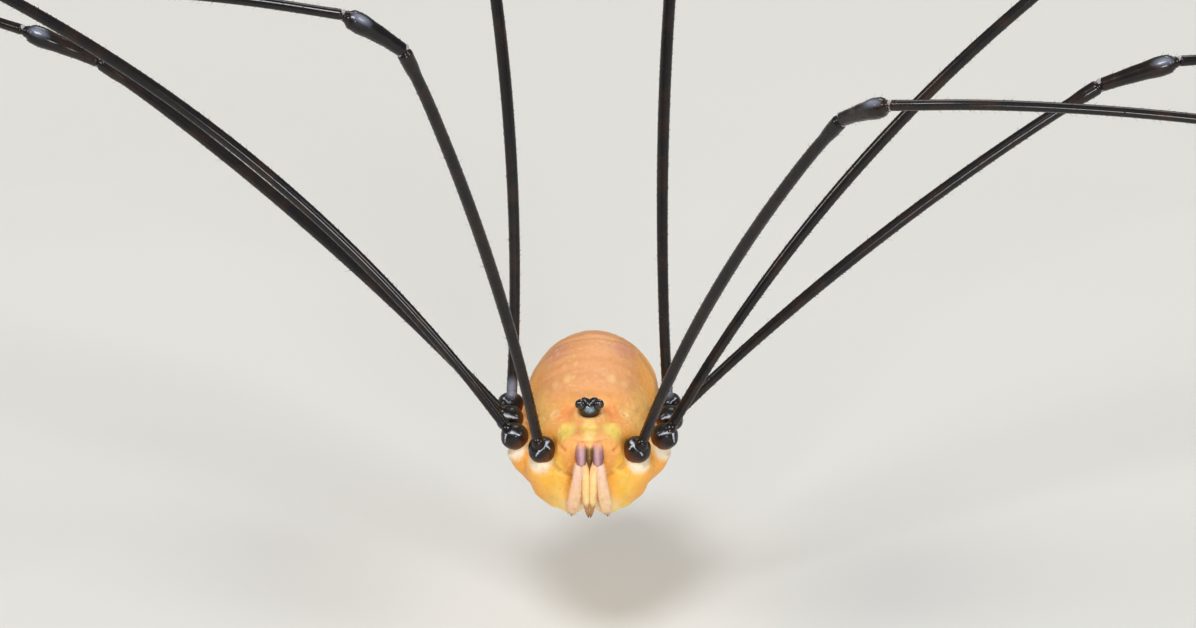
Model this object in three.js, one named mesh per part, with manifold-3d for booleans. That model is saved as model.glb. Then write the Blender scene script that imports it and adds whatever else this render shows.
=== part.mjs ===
// A long-legged harvestman, life size, standing with its head towards -Y.
// Lengths are millimetres, angles are degrees and +Z is up. Left is the animal's left, at +X.

import * as THREE from "three";
import { mergeVertices } from "three/addons/utils/BufferGeometryUtils.js";
import Module from "manifold-3d";

const wasm = await Module();
wasm.setup();

// Places on the body are measured from a point between the second and third pairs of legs,
// at the height of the trochanters.
const STANDING_HEIGHT = 6; // of that point over the floor
const LEG_GAP = 0.25; // between two pieces of a leg
const BODY_GAP = 0.12; // between two pieces of the body
const EYE_GAP = 0.06; // between an eye and its socket

// The trunk from its front to its back: each row is a ring round it, in equal steps of a half turn.
const TRUNK_RINGS = [
  { y: -2.28, top: 0.12, belly: 0.12, half: 0 },
  { y: -2.22, top: 0.42, belly: -0.3, half: 0.5 },
  { y: -1.98, top: 0.62, belly: -0.66, half: 0.86 },
  { y: -1.5, top: 0.78, belly: -0.92, half: 1.14 },
  { y: -0.8, top: 0.95, belly: -1.02, half: 1.45 },
  { y: 0.05, top: 1.24, belly: -1.08, half: 1.55 },
  { y: 0.95, top: 1.52, belly: -1.1, half: 1.68 },
  { y: 1.75, top: 1.54, belly: -1.02, half: 1.57 },
  { y: 2.42, top: 1.2, belly: -0.78, half: 1.16 },
  { y: 2.9, top: 0.66, belly: -0.4, half: 0.62 },
  { y: 3.05, top: 0.1, belly: 0.1, half: 0 },
];
const TRUNK_WIDEST = 0.42; // share of the height where a ring is widest
const RIDGE = 1.06; // above 1 the back rises to a low ridge, as a roof does
const TRUNK_TURN = 2; // the hind end leans to the left by this angle
const PARTING = { y: -0.35, lean: 22 }; // groove between the carapace and the hind body

const OPERCULUM = { front: -1.25, back: 1.5, half: 0.34, top: -0.95, belly: -1.4 };

const OCULARIUM = { y: -1.34, base: 0.78, half: 0.34, length: 0.28, height: 0.5 };
const CLEFT = { half: 0.07, length: 0.42 }; // groove along the top of the ocularium
const EYE = { radius: 0.14, side: 0.22, y: -1.41, z: 1.13 };

const TROCHANTER_RADIUS = 0.33;
const COXA_RADII = [0.46, 0.56, 0.5, 0.34]; // at even steps from the root to the trochanter
const COXA_SHORT = 0.16; // a coxa's rim lies this far before the middle of the trochanter

// Each leg's coxa grows from root on the underside to seat, the centre of the trochanter. Its middle
// hangs out and down by bow.
const HIPS = [
  { root: [0.58, -1.52, -1.27], seat: [1.22, -1.75, 0], bow: 0.14 },
  { root: [0.6, -0.85, -1.2], seat: [1.86, -1.05, 0], bow: 0.14 },
  { root: [0.56, -0.08, -1.1], seat: [1.99, -0.15, 0.02], bow: 0.14 },
  { root: [0.54, 0.66, -1.02], seat: [1.97, 0.78, -0.1], bow: 0.13 },
];

// Lobes before the first coxae, behind and beside the mouthparts, each with its half sizes.
const ENDITES = [
  { middle: [0.3, -1.92, -1.02], sizes: [0.26, 0.3, 0.63] },
  { middle: [0.52, -1.84, -1.1], sizes: [0.32, 0.38, 0.58] },
  { middle: [0.62, -1.86, -0.6], sizes: [0.36, 0.3, 0.52] },
];

const SEGMENTS = ["femur", "patella", "tibia", "metatarsus", "tarsus"];
const SEGMENT_LENGTHS = [
  { femur: 12.8, patella: 1.9, tibia: 11, metatarsus: 12.5, tarsus: 16 },
  { femur: 21, patella: 2.2, tibia: 19, metatarsus: 20, tarsus: 30 },
  { femur: 13.6, patella: 2.05, tibia: 11, metatarsus: 14, tarsus: 17 },
  { femur: 18.5, patella: 2.1, tibia: 15, metatarsus: 20, tarsus: 22 },
];
const SHIN_BOW = 0.3; // of every tibia
const LEG_RADIUS = 0.25;
const FEMUR_ROOT_RADIUS = 0.2;
const KNEE_RADIUS = 0.28;
const TIP_RADIUS = 0.12;
const TIP = { share: 0.985, radius: 0.17 }; // where the tarsus starts to narrow to its tip
const LEG_SIDES = 8;
const FLOOR_FLAT = 0.02; // what lies lower than this under a tarsus is flat on the floor

// A rounded end stands out by a share of its bar's radius, and narrows part of the way there.
const ROUND_END = { reach: 0.6, shoulder: 0.75, narrow: 0.7 };

// How each leg stands: the rise above level of its femur, patella, tibia and metatarsus, and the
// heading forward of straight sideways of these and of the tarsus at its tip. The tarsus bends
// down to the floor and lies on it. The middle of the femur arches upwards and inwards by bow.
const STANCE = {
  left: [
    { rises: [60.4, 30, -5, -70], headings: [41.6, 51, 0, 20, 40], bow: 0.42 },
    { rises: [43.6, 22, -10, -58], headings: [-15.9, 0, 42, 46, 75], bow: 1.47 },
    { rises: [35.2, 18, -7, -59], headings: [-15.7, -2, -12, -25, -48], bow: 0.4 },
    { rises: [75.6, 30, -8, -67], headings: [-78.4, -60, -42, -45, -60], bow: 0.53 },
  ],
  right: [
    { rises: [71.5, 38, 0, -76], headings: [38.9, 20, -8, 20, 45], bow: 0.29 },
    { rises: [36.5, 18, -8, -50], headings: [-12.1, 0, 40, 44, 72], bow: 1.59 },
    { rises: [37.6, 20.5, -2, -66], headings: [-18.7, -8, -30, -38, -58], bow: 0.37 },
    { rises: [76, 30, -7, -67], headings: [-64.8, -55, -40, -44, -62], bow: 0.77 },
  ],
};

// Each article of the mouthparts is a bar between two of these places, on the left side.
const CHELICERA = {
  base: { from: [0.21, -1.9, 0.28], to: [0.21, -2.42, 0.2], radii: [0.18, 0.18] },
  hand: { from: [0.2, -2.46, 0.14], to: [0.17, -2.52, -1.2], radii: [0.16, 0.16, 0.16, 0.14] },
  finger: { from: [0.16, -2.5, -1.14], to: [0.1, -2.36, -1.54], radii: [0.13, 0.08] },
};
const PEDIPALP = {
  femur: { from: [0.52, -1.98, -0.55], to: [0.5, -2.56, -0.12], radii: [0.19, 0.2] },
  patella: { from: [0.5, -2.56, -0.12], to: [0.5, -2.72, -0.42], radii: [0.2, 0.2] },
  tibia: { from: [0.5, -2.72, -0.38], to: [0.52, -2.68, -0.92], radii: [0.2, 0.2] },
  tarsus: { from: [0.52, -2.68, -0.88], to: [0.52, -2.44, -1.46], radii: [0.19, 0.17, 0.09] },
};

const SIDES = { left: 1, right: -1 };

const COLOURS = {
  body: { color: 0xf0a958, roughness: 0.5, metalness: 0 },
  coxa: { color: 0xf2a23c, roughness: 0.45, metalness: 0 },
  leg: { color: 0x0d0d10, roughness: 0.35, metalness: 0 },
  trochanter: { color: 0x1a0f0b, roughness: 0.3, metalness: 0 },
  ocularium: { color: 0x070708, roughness: 0.15, metalness: 0 },
  eye: { color: 0x020203, roughness: 0.05, metalness: 0 },
  mouthparts: { color: 0xd9a07c, roughness: 0.5, metalness: 0 },
  pedipalp: { color: 0xf0cdb4, roughness: 0.5, metalness: 0 },
};
const FINISHES = Object.fromEntries(
  Object.entries(COLOURS).map(([name, look]) => [name, new THREE.MeshStandardMaterial(look)]),
);

const UP = new THREE.Vector3(0, 0, 1);

function vector([x, y, z], side = 1) {
  return new THREE.Vector3(x * side, y, z);
}

function smoothstep(low, high, value) {
  return THREE.MathUtils.smoothstep(value, low, high);
}

// The direction that rises by an angle above level and is turned forward of straight sideways.
function direction(rise, heading, side) {
  const r = THREE.MathUtils.degToRad(rise);
  const h = THREE.MathUtils.degToRad(heading);
  return new THREE.Vector3(side * Math.cos(r) * Math.cos(h), -Math.cos(r) * Math.sin(h), Math.sin(r));
}

// A closed geometry as a solid whose faces point outwards.
function solid(geometry) {
  const bare = geometry.clone();
  bare.deleteAttribute("normal");
  bare.deleteAttribute("uv");
  const merged = mergeVertices(bare, 1e-4);
  const corners = [];
  const index = merged.index.array;
  for (let i = 0; i < index.length; i += 3) {
    const [a, b, c] = index.slice(i, i + 3);
    if (a !== b && b !== c && c !== a) corners.push(a, b, c);
  }
  const build = (order) =>
    new wasm.Manifold(
      new wasm.Mesh({ numProp: 3, vertProperties: merged.attributes.position.array, triVerts: order }),
    );
  const made = build(new Uint32Array(corners));
  if (made.volume() > 0) return made;
  for (let i = 0; i < corners.length; i += 3) [corners[i], corners[i + 1]] = [corners[i + 1], corners[i]];
  return build(new Uint32Array(corners));
}

function join(solids) {
  return solids.reduce((sum, next) => sum.add(next));
}

// Only the largest closed surface of a solid is kept.
function largest(made) {
  return made.decompose().reduce((best, next) => (next.volume() > best.volume() ? next : best));
}

function node(name, made, finish) {
  const { numProp, numVert, vertProperties, triVerts } = largest(made).getMesh();
  const places = new Float32Array(numVert * 3);
  for (let i = 0; i < numVert; i++) {
    places.set(vertProperties.subarray(i * numProp, i * numProp + 3), i * 3);
  }
  const geometry = new THREE.BufferGeometry()
    .setAttribute("position", new THREE.BufferAttribute(places, 3))
    .setIndex(new THREE.BufferAttribute(triVerts, 1));
  geometry.computeVertexNormals();
  const mesh = new THREE.Mesh(geometry, FINISHES[finish]);
  mesh.name = name;
  return mesh;
}

// A bar along a curve: a profile of [share of the length, radius] turned about the curve.
// An end with a plane is cut along it, and an end without one is square.
// What comes lower than flat is laid on the floor.
function bar(curve, profile, { sides = LEG_SIDES, startPlane, endPlane, flat = -Infinity } = {}) {
  const outline = [[0, 0], ...profile.map(([share, radius]) => [radius, share]), [0, 1]];
  const points = outline.map(([radius, share]) => new THREE.Vector2(radius, share));
  const turned = new THREE.LatheGeometry(points, sides, Math.PI / sides);
  const place = turned.attributes.position;
  const spot = new THREE.Vector3();
  for (let i = 0; i < place.count; i++) {
    spot.fromBufferAttribute(place, i);
    const share = THREE.MathUtils.clamp(spot.y, 0, 1);
    const along = curve.getTangentAt(share);
    const across = new THREE.Vector3().crossVectors(along, UP).normalize();
    const over = new THREE.Vector3().crossVectors(across, along);
    const { x, z } = spot;
    spot.copy(curve.getPointAt(share)).addScaledVector(across, x).addScaledVector(over, z);
    const plane = share === 0 ? startPlane : share === 1 ? endPlane : undefined;
    if (plane) {
      const miss = plane.distanceToPoint(spot) / plane.normal.dot(along);
      spot.addScaledVector(along, -miss);
    }
    place.setXYZ(i, spot.x, spot.y, spot.z < flat ? 0 : spot.z);
  }
  return solid(turned);
}

// A bar with rounded ends, whose radii are spread evenly between the two places. It may hang by bow.
function roundedBar(from, to, radii, { sides = 10, bow = 0, towards = UP } = {}) {
  const { reach, shoulder, narrow } = ROUND_END;
  const tipRadius = radii[radii.length - 1];
  const first = radii[0] * reach;
  const last = tipRadius * reach;
  const along = to.clone().sub(from);
  const length = along.length();
  along.normalize();
  const whole = first + length + last;
  const profile = [
    [(first * (1 - shoulder)) / whole, radii[0] * narrow],
    ...radii.map((radius, i) => [(first + (i / (radii.length - 1)) * length) / whole, radius]),
    [1 - (last * (1 - shoulder)) / whole, tipRadius * narrow],
  ];
  const start = from.clone().addScaledVector(along, -first);
  const end = to.clone().addScaledVector(along, last);
  return bar(bow ? arch(start, end, bow, towards) : new THREE.LineCurve3(start, end), profile, { sides });
}

function ball(centre, radius, across = 14, rings = 8) {
  return solid(new THREE.SphereGeometry(radius, across, rings).translate(centre.x, centre.y, centre.z));
}

function ellipsoid([x, y, z], [halfX, halfY, halfZ], across, rings) {
  return solid(
    new THREE.SphereGeometry(1, across, rings)
      .rotateX(Math.PI / 2)
      .scale(halfX, halfY, halfZ)
      .translate(x, y, z),
  );
}

// The trunk's whole form, grown outwards by a margin.
function trunkForm(margin = 0, across = 32, rings = 24) {
  const outline = (sizes) => new THREE.CatmullRomCurve3(sizes, false, "centripetal");
  const heights = outline(TRUNK_RINGS.map(({ y, top, belly }) => new THREE.Vector3(y, top, belly)));
  const widths = outline(TRUNK_RINGS.map(({ y, half }) => new THREE.Vector3(y, half, 0)));
  const form = new THREE.SphereGeometry(1, across, rings);
  const place = form.attributes.position;
  const turn = Math.tan(THREE.MathUtils.degToRad(TRUNK_TURN));
  for (let i = 0; i < place.count; i++) {
    const round = Math.atan2(place.getZ(i), place.getX(i));
    const share = Math.acos(THREE.MathUtils.clamp(-place.getY(i), -1, 1)) / Math.PI;
    const { x: y, y: top, z: belly } = heights.getPoint(share);
    const half = widths.getPoint(share).y;
    const middle = THREE.MathUtils.lerp(belly, top, TRUNK_WIDEST);
    const rise = Math.sin(round);
    const swell = margin * Math.sin(share * Math.PI);
    const height = rise > 0 ? (top - middle + swell) * rise ** RIDGE : (middle - belly + swell) * rise;
    const x = (half + swell) * Math.cos(round);
    const end = margin * -Math.cos(share * Math.PI);
    place.setXYZ(i, x + (y - OCULARIUM.y) * turn, y + end, middle + height);
  }
  return solid(form);
}

// The space on one side of the parting groove, as a box larger than the trunk.
function partingHalf(front) {
  const reach = 8;
  const offset = (front ? -1 : 1) * (reach / 2 + BODY_GAP / 2);
  return solid(
    new THREE.BoxGeometry(reach, reach, reach)
      .translate(0, offset, 0)
      .rotateX(THREE.MathUtils.degToRad(PARTING.lean))
      .translate(0, PARTING.y, 0),
  );
}

function operculum(margin = 0) {
  const { front, back, half, top, belly } = OPERCULUM;
  const sizes = [half + margin, (back - front) / 2 + margin, (top - belly) / 2 + margin];
  return ellipsoid([0, (front + back) / 2, (top + belly) / 2], sizes, 16, 10);
}

function coxa({ root, seat, bow }, side, margin = 0) {
  const radii = COXA_RADII.map((radius) => radius + margin);
  const towards = new THREE.Vector3(side, 0, -1);
  return roundedBar(vector(root, side), vector(seat, side), radii, { sides: 12, bow, towards });
}

function endites(side, margin = 0) {
  const lobes = ENDITES.map(({ middle: [x, y, z], sizes }) =>
    ellipsoid([x * side, y, z], sizes.map((size) => size + margin), 14, 10),
  );
  return join(lobes);
}

// The trochanters of one side grown by the gap, to cut their neighbours clear.
function trochanterCups(side) {
  return HIPS.map(({ seat }) => ball(vector(seat, side), TROCHANTER_RADIUS + BODY_GAP, 14, 8));
}

// The four coxae of one side grow together at their roots, and each ends in a cup for its trochanter.
function coxae(side) {
  const rows = HIPS.map((hip) => {
    const cup = vector(hip.seat, side);
    const axis = cup.clone().sub(vector(hip.root, side)).normalize();
    const rim = cup.clone().addScaledVector(axis, -COXA_SHORT);
    const beyond = new THREE.Plane().setFromNormalAndCoplanarPoint(axis, rim);
    return cutBeyond(coxa(hip, side), beyond);
  });
  return join([...rows, endites(side)])
    .subtract(join(trochanterCups(side)))
    .subtract(trunkForm(BODY_GAP, 24, 18))
    .subtract(operculum(BODY_GAP));
}

// Cuts off what lies past a plane.
function cutBeyond(made, plane) {
  return made.trimByPlane(plane.normal.clone().negate().toArray(), plane.constant);
}

function chelicera(side) {
  const articles = Object.values(CHELICERA).map(({ from, to, radii }) =>
    roundedBar(vector(from, side), vector(to, side), radii, { sides: 8 }),
  );
  return join(articles).subtract(trunkForm(BODY_GAP, 24, 18)).subtract(endites(side, BODY_GAP));
}

function pedipalp(side) {
  const articles = Object.values(PEDIPALP).map(({ from, to, radii }) =>
    roundedBar(vector(from, side), vector(to, side), radii, { sides: 8 }),
  );
  return join(articles).subtract(trunkForm(BODY_GAP, 24, 18)).subtract(coxaRow(side));
}

// The coxae grown by the gap, to cut their neighbours clear.
function coxaRow(side) {
  return join([...HIPS.map((hip) => coxa(hip, side, BODY_GAP)), endites(side, BODY_GAP)]);
}

function ocularium() {
  const { y, base, half, length, height } = OCULARIUM;
  const mound = ellipsoid([0, y, base], [half, length, height], 18, 12);
  const cleft = ellipsoid([0, y, base + height], [CLEFT.half, CLEFT.length, CLEFT.half], 8, 6);
  return mound
    .subtract(cleft)
    .subtract(trunkForm(BODY_GAP / 2))
    .subtract(eyeBall(1, EYE_GAP))
    .subtract(eyeBall(-1, EYE_GAP));
}

function eyeBall(side, margin = 0) {
  return ball(vector([EYE.side, EYE.y, EYE.z], side), EYE.radius + margin, 12, 8);
}

// An arched curve between two points, whose middle is moved off the straight line.
function arch(from, to, bow, towards) {
  const along = to.clone().sub(from).normalize();
  const lift = towards.clone().addScaledVector(along, -towards.dot(along)).normalize();
  const middle = from.clone().lerp(to, 0.5).addScaledVector(lift, 2 * bow);
  return new THREE.QuadraticBezierCurve3(from, middle, to);
}

// The tarsus goes on as the metatarsus does, turns level on an arc and then lies on the floor.
function tarsusCurve(from, rise, [heading, endHeading], length, side) {
  const rest = LEG_RADIUS * Math.cos(Math.PI / LEG_SIDES);
  const steep = THREE.MathUtils.degToRad(-rise);
  const arcLength = ((from.z - rest) / (1 - Math.cos(steep))) * steep;
  const steps = 40;
  const points = [from.clone()];
  for (let i = 0; i < steps; i++) {
    const share = (i + 0.5) / steps;
    const fall = rise * Math.max(0, 1 - (share * length) / arcLength);
    const turned = THREE.MathUtils.lerp(heading, endHeading, smoothstep(0, 1, share));
    const next = points[i].clone().addScaledVector(direction(fall, turned, side), length / steps);
    if ((share + 0.5 / steps) * length > arcLength) next.z = rest;
    points.push(next);
  }
  return new THREE.CatmullRomCurve3(points);
}

// The joints of a leg from its trochanter to the start of its tarsus.
function legJoints(pair, sideName) {
  const side = SIDES[sideName];
  const seat = vector(HIPS[pair].seat, side);
  seat.z += STANDING_HEIGHT;
  const { rises, headings } = STANCE[sideName][pair];
  const joints = [seat];
  rises.forEach((rise, i) => {
    const length = SEGMENT_LENGTHS[pair][SEGMENTS[i]];
    joints.push(joints[i].clone().addScaledVector(direction(rise, headings[i], side), length));
  });
  return joints;
}

function legCurves(pair, sideName) {
  const side = SIDES[sideName];
  const { rises, headings, bow } = STANCE[sideName][pair];
  const joints = legJoints(pair, sideName);
  const inwards = new THREE.Vector3(-side, 0, 1);
  return [
    arch(joints[0], joints[1], bow, inwards),
    new THREE.LineCurve3(joints[1], joints[2]),
    arch(joints[2], joints[3], SHIN_BOW, UP),
    new THREE.LineCurve3(joints[3], joints[4]),
    tarsusCurve(joints[4], rises[3], headings.slice(3), SEGMENT_LENGTHS[pair].tarsus, side),
  ];
}

// A leg's full radius at even steps along a segment.
function evenRings(steps) {
  return Array.from({ length: steps + 1 }, (_, i) => [i / steps, LEG_RADIUS]);
}

const PROFILES = {
  femur: [[0, FEMUR_ROOT_RADIUS], ...evenRings(9).slice(1)],
  patella: [[0, LEG_RADIUS], [0.3, LEG_RADIUS], [0.75, KNEE_RADIUS], [1, LEG_RADIUS]],
  tibia: evenRings(5),
  metatarsus: evenRings(1),
  tarsus: [...evenRings(14).slice(0, -1), [TIP.share, TIP.radius], [1, TIP_RADIUS]],
};

// A plane square to the bend between two curves that meet, half a gap past their joint.
function jointPlane(before, after, past) {
  const joint = after.getPointAt(0);
  const normal = before.getTangentAt(1).add(after.getTangentAt(0)).normalize();
  return new THREE.Plane().setFromNormalAndCoplanarPoint(
    normal,
    joint.clone().addScaledVector(normal, (past * LEG_GAP) / 2),
  );
}

function leg(pair, sideName) {
  const curves = legCurves(pair, sideName);
  const label = `leg_${pair + 1}_${sideName}`;
  const seat = curves[0].getPointAt(0);
  const trochanter = ball(seat, TROCHANTER_RADIUS, 12, 8);
  const pieces = [node(`trochanter_${pair + 1}_${sideName}`, trochanter, "trochanter")];
  curves.forEach((curve, i) => {
    const segment = SEGMENTS[i];
    const along = curve.getTangentAt(0);
    const root = seat.clone().addScaledVector(along, TROCHANTER_RADIUS + LEG_GAP);
    const startPlane =
      i === 0
        ? new THREE.Plane().setFromNormalAndCoplanarPoint(along, root)
        : jointPlane(curves[i - 1], curve, 1);
    const endPlane = i < curves.length - 1 ? jointPlane(curve, curves[i + 1], -1) : undefined;
    const flat = segment === "tarsus" ? FLOOR_FLAT : undefined;
    const shape = bar(curve, PROFILES[segment], { startPlane, endPlane, flat });
    pieces.push(node(`${label}_${segment}`, shape, "leg"));
  });
  return pieces;
}

const body = new THREE.Group();
body.position.z = STANDING_HEIGHT;
const hindBody = trunkForm().intersect(partingHalf(false)).add(operculum());
const foreBody = trunkForm()
  .intersect(partingHalf(true))
  .subtract(operculum(BODY_GAP))
  .subtract(join(Object.values(SIDES).flatMap(trochanterCups)));
body.add(
  node("opisthosoma", hindBody, "body"),
  node("prosoma", foreBody, "body"),
  node("ocularium", ocularium(), "ocularium"),
);
for (const [sideName, side] of Object.entries(SIDES)) {
  body.add(
    node(`coxae_${sideName}`, coxae(side), "coxa"),
    node(`eye_${sideName}`, eyeBall(side), "eye"),
    node(`chelicera_${sideName}`, chelicera(side), "mouthparts"),
    node(`pedipalp_${sideName}`, pedipalp(side), "pedipalp"),
  );
}

const legs = new THREE.Group();
for (const sideName of Object.keys(SIDES)) {
  for (let pair = 0; pair < HIPS.length; pair++) legs.add(...leg(pair, sideName));
}

// The origin is on the floor, under the middle of the box that holds the whole animal.
const harvestman = new THREE.Group();
harvestman.add(body, legs);
harvestman.updateMatrixWorld(true);
const box = new THREE.Box3().setFromObject(harvestman, true);
const middle = box.getCenter(new THREE.Vector3());
for (const part of [body, legs]) {
  part.position.x -= middle.x;
  part.position.y -= middle.y;
  part.position.z -= box.min.z;
}

export default harvestman;
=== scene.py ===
"""A still, life-size harvestman: its skin, eyes, mouthparts and legs, and the stage it stands on.

Shapes are worked out in millimetres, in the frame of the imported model, and each finished mesh is
turned into metres by deliver(). Places on the body are measured from BODY, the point in the middle
of the trunk that lies at the height of the second trochanters and a little behind the third ones.
The head points to -Y, and left is the animal's left, at +X.
"""

import math
import random

import bmesh
import bpy
import numpy as np
from mathutils import Matrix, Vector, noise


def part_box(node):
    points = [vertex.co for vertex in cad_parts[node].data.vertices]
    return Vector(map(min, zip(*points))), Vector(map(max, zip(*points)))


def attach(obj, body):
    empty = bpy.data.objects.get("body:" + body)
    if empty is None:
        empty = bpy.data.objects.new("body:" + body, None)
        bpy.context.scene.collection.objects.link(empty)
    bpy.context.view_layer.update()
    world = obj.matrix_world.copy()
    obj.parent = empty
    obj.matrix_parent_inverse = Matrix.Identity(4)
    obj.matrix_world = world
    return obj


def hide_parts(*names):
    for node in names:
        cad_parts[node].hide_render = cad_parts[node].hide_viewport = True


bl_info = {
    "name": "Harvestman",
    "version": (1, 0, 0),
    "blender": (4, 5, 0),
    "location": "3D View > Sidebar > Harvestman",
    "description": "Makes a life-size harvestman over its packed model",
    "category": "Object",
}

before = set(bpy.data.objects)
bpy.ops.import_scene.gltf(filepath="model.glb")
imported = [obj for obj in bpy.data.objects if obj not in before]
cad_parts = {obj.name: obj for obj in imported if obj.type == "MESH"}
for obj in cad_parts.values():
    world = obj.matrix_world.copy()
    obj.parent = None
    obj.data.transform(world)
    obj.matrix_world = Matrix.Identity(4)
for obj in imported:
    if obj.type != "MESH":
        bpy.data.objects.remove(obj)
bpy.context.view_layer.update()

MM = 0.001
SIDES = {"left": 1, "right": -1}
PAIRS = (1, 2, 3, 4)
LEGS = [(pair, side) for side in SIDES for pair in PAIRS]
SEGMENTS = ("femur", "patella", "tibia", "metatarsus", "tarsus")

# Sizes and places on the left side in millimetres. The places are measured from BODY.
TROCHANTER_RADIUS = 0.33
SECOND_PAIR = -1.05  # the y of the second trochanters
CARAPACE_EDGE = {"y": -0.35, "lean": math.radians(22)}  # the groove behind the carapace
MOUND = {"y": -1.31, "base": 0.76, "half": 0.29, "length": 0.24, "height": 0.52}
EYE = (0.22, -1.41, 1.13)
EYE_RADIUS = 0.135

# A Mix node has sockets for every kind of data. These are the ones for colours.
MIX_SHARE, MIX_FIRST, MIX_SECOND, MIX_RESULT = 0, 6, 7, 2
MERGE_DISTANCE = 1e-4  # in millimetres, within which the corners of a CAD node's triangles are one
CROWDING = 0.8  # how strongly the rings of a tube gather at its ends, from 0 to 1


def node_middle(name):
    low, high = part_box(name)
    return (low + high) / 2 / MM


def body_origin():
    middle = (node_middle("trochanter_2_left") + node_middle("trochanter_2_right")) / 2
    return middle - Vector((0, SECOND_PAIR, 0))


BODY = body_origin()


def on_body(place, side=1):
    """A place on the body as a point of the frame."""
    x, y, z = place
    return BODY + Vector((x * side, y, z))


def ease(low, high, value):
    """A smooth step from 0 at low to 1 at high, for numbers and arrays."""
    share = np.clip((value - low) / (high - low), 0, 1)
    return share * share * (3 - 2 * share)


def tint(code):
    """A colour written as six hexadecimal digits, in the linear values that shaders use."""
    levels = [int(code[i : i + 2], 16) / 255 for i in (0, 2, 4)]
    return tuple(v / 12.92 if v <= 0.04045 else ((v + 0.055) / 1.055) ** 2.4 for v in levels)


# Node trees


class Wire:
    """An output of a shader node. Sums, differences and products of wires add their own Math nodes."""

    def __init__(self, finish, socket):
        self.finish = finish
        self.socket = socket

    def other(self, name):
        """Another output of the same node."""
        return Wire(self.finish, self.socket.node.outputs[name])

    def math(self, operation, first, second):
        return self.finish.node("ShaderNodeMath", {"operation": operation}, {0: first, 1: second})

    def __add__(self, value):
        return self.math("ADD", self, value)

    def __radd__(self, value):
        return self.math("ADD", value, self)

    def __sub__(self, value):
        return self.math("SUBTRACT", self, value)

    def __rsub__(self, value):
        return self.math("SUBTRACT", value, self)

    def __mul__(self, value):
        return self.math("MULTIPLY", self, value)

    def __rmul__(self, value):
        return self.math("MULTIPLY", value, self)


class Finish:
    """One material, built as a node tree around a single Principled shader."""

    def __init__(self, name):
        self.material = bpy.data.materials.new(name)
        self.material.use_nodes = True
        self.tree = self.material.node_tree
        self.shader = self.tree.nodes["Principled BSDF"]

    def node(self, kind, settings=None, inputs=None, output=0):
        """Any node: its settings are set first, then its sockets get values or wires."""
        made = self.tree.nodes.new(kind)
        for name, value in (settings or {}).items():
            setattr(made, name, value)
        for key, value in (inputs or {}).items():
            self.feed(made.inputs[key], value)
        return Wire(self, made.outputs[output])

    def feed(self, socket, value):
        if isinstance(value, Wire):
            self.tree.links.new(value.socket, socket)
        elif socket.type == "RGBA" and len(value) == 3:
            socket.default_value = (*value, 1)
        else:
            socket.default_value = value

    def surface(self, **inputs):
        """Sets the shader's sockets, whose names are written with underscores."""
        for name, value in inputs.items():
            self.feed(self.shader.inputs[name.replace("_", " ").title().replace("Ior", "IOR")], value)
        return self.material

    def place(self, centre=BODY):
        """The place on the piece in millimetres from a centre."""
        where = self.node("ShaderNodeTexCoord", output="Object")
        return self.node(
            "ShaderNodeMapping",
            {"vector_type": "POINT"},
            {"Vector": where, "Location": tuple(-v for v in centre), "Scale": (1 / MM,) * 3},
        )

    def split(self, vector):
        x = self.node("ShaderNodeSeparateXYZ", inputs={"Vector": vector})
        return x, x.other("Y"), x.other("Z")

    def joined(self, x, y, z):
        return self.node("ShaderNodeCombineXYZ", inputs={"X": x, "Y": y, "Z": z})

    def absolute(self, value):
        return self.node("ShaderNodeMath", {"operation": "ABSOLUTE"}, {0: value})

    def step(self, low, high, value):
        """A smooth step from 0 at low to 1 at high."""
        flip = low > high
        inputs = {
            "Value": value,
            "From Min": min(low, high),
            "From Max": max(low, high),
            "To Min": float(flip),
            "To Max": float(not flip),
        }
        return self.node("ShaderNodeMapRange", {"interpolation_type": "SMOOTHSTEP"}, inputs)

    def mix(self, share, first, second):
        """A blend of two colours."""
        inputs = {MIX_SHARE: share, MIX_FIRST: first, MIX_SECOND: second}
        return self.node("ShaderNodeMix", {"data_type": "RGBA"}, inputs, MIX_RESULT)

    def coats(self, colour, *coats):
        """Coats of colour over a first one, each with the share of it that shows."""
        for share, coat in coats:
            colour = self.mix(share, colour, tint(coat) if isinstance(coat, str) else coat)
        return colour

    def spots(self, colour, place, rows):
        """Round spots over a colour: middle, full and faded radius, strength and colour of each."""
        for centre, inner, outer, strength, code in rows:
            colour = self.mix(self.spot(place, centre, inner, outer) * strength, colour, tint(code))
        return colour

    def attribute(self, name):
        return self.node("ShaderNodeAttribute", {"attribute_name": name}, output="Fac")

    def grain(self, place, scale, detail=3.0, roughness=0.55):
        inputs = {"Vector": place, "Scale": scale, "Detail": detail, "Roughness": roughness}
        return self.node("ShaderNodeTexNoise", inputs=inputs)

    def cells(self, place, scale):
        """The distance to the middle of the nearest of many cells."""
        return self.node("ShaderNodeTexVoronoi", inputs={"Vector": place, "Scale": scale})

    def spot(self, place, centre, inner, outer):
        """1 within inner of a centre, fading to 0 at outer, in millimetres."""
        settings = {"operation": "DISTANCE"}
        far = self.node("ShaderNodeVectorMath", settings, {0: place, 1: centre}, "Value")
        return self.step(outer, inner, far)

    def stretched(self, vector, scale):
        return self.node("ShaderNodeVectorMath", {"operation": "MULTIPLY"}, {0: vector, 1: scale})

    def bump(self, height, depth, strength):
        """A normal raised by a height from 0 to 1, whose full height is depth in millimetres."""
        inputs = {"Height": height, "Distance": depth * MM, "Strength": strength}
        return self.node("ShaderNodeBump", inputs=inputs)


# Mesh tools


def as_mesh(shape, name):
    """A bmesh as a mesh. The bmesh is freed."""
    mesh = bpy.data.meshes.new(name)
    shape.to_mesh(mesh)
    shape.free()
    return mesh


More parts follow.
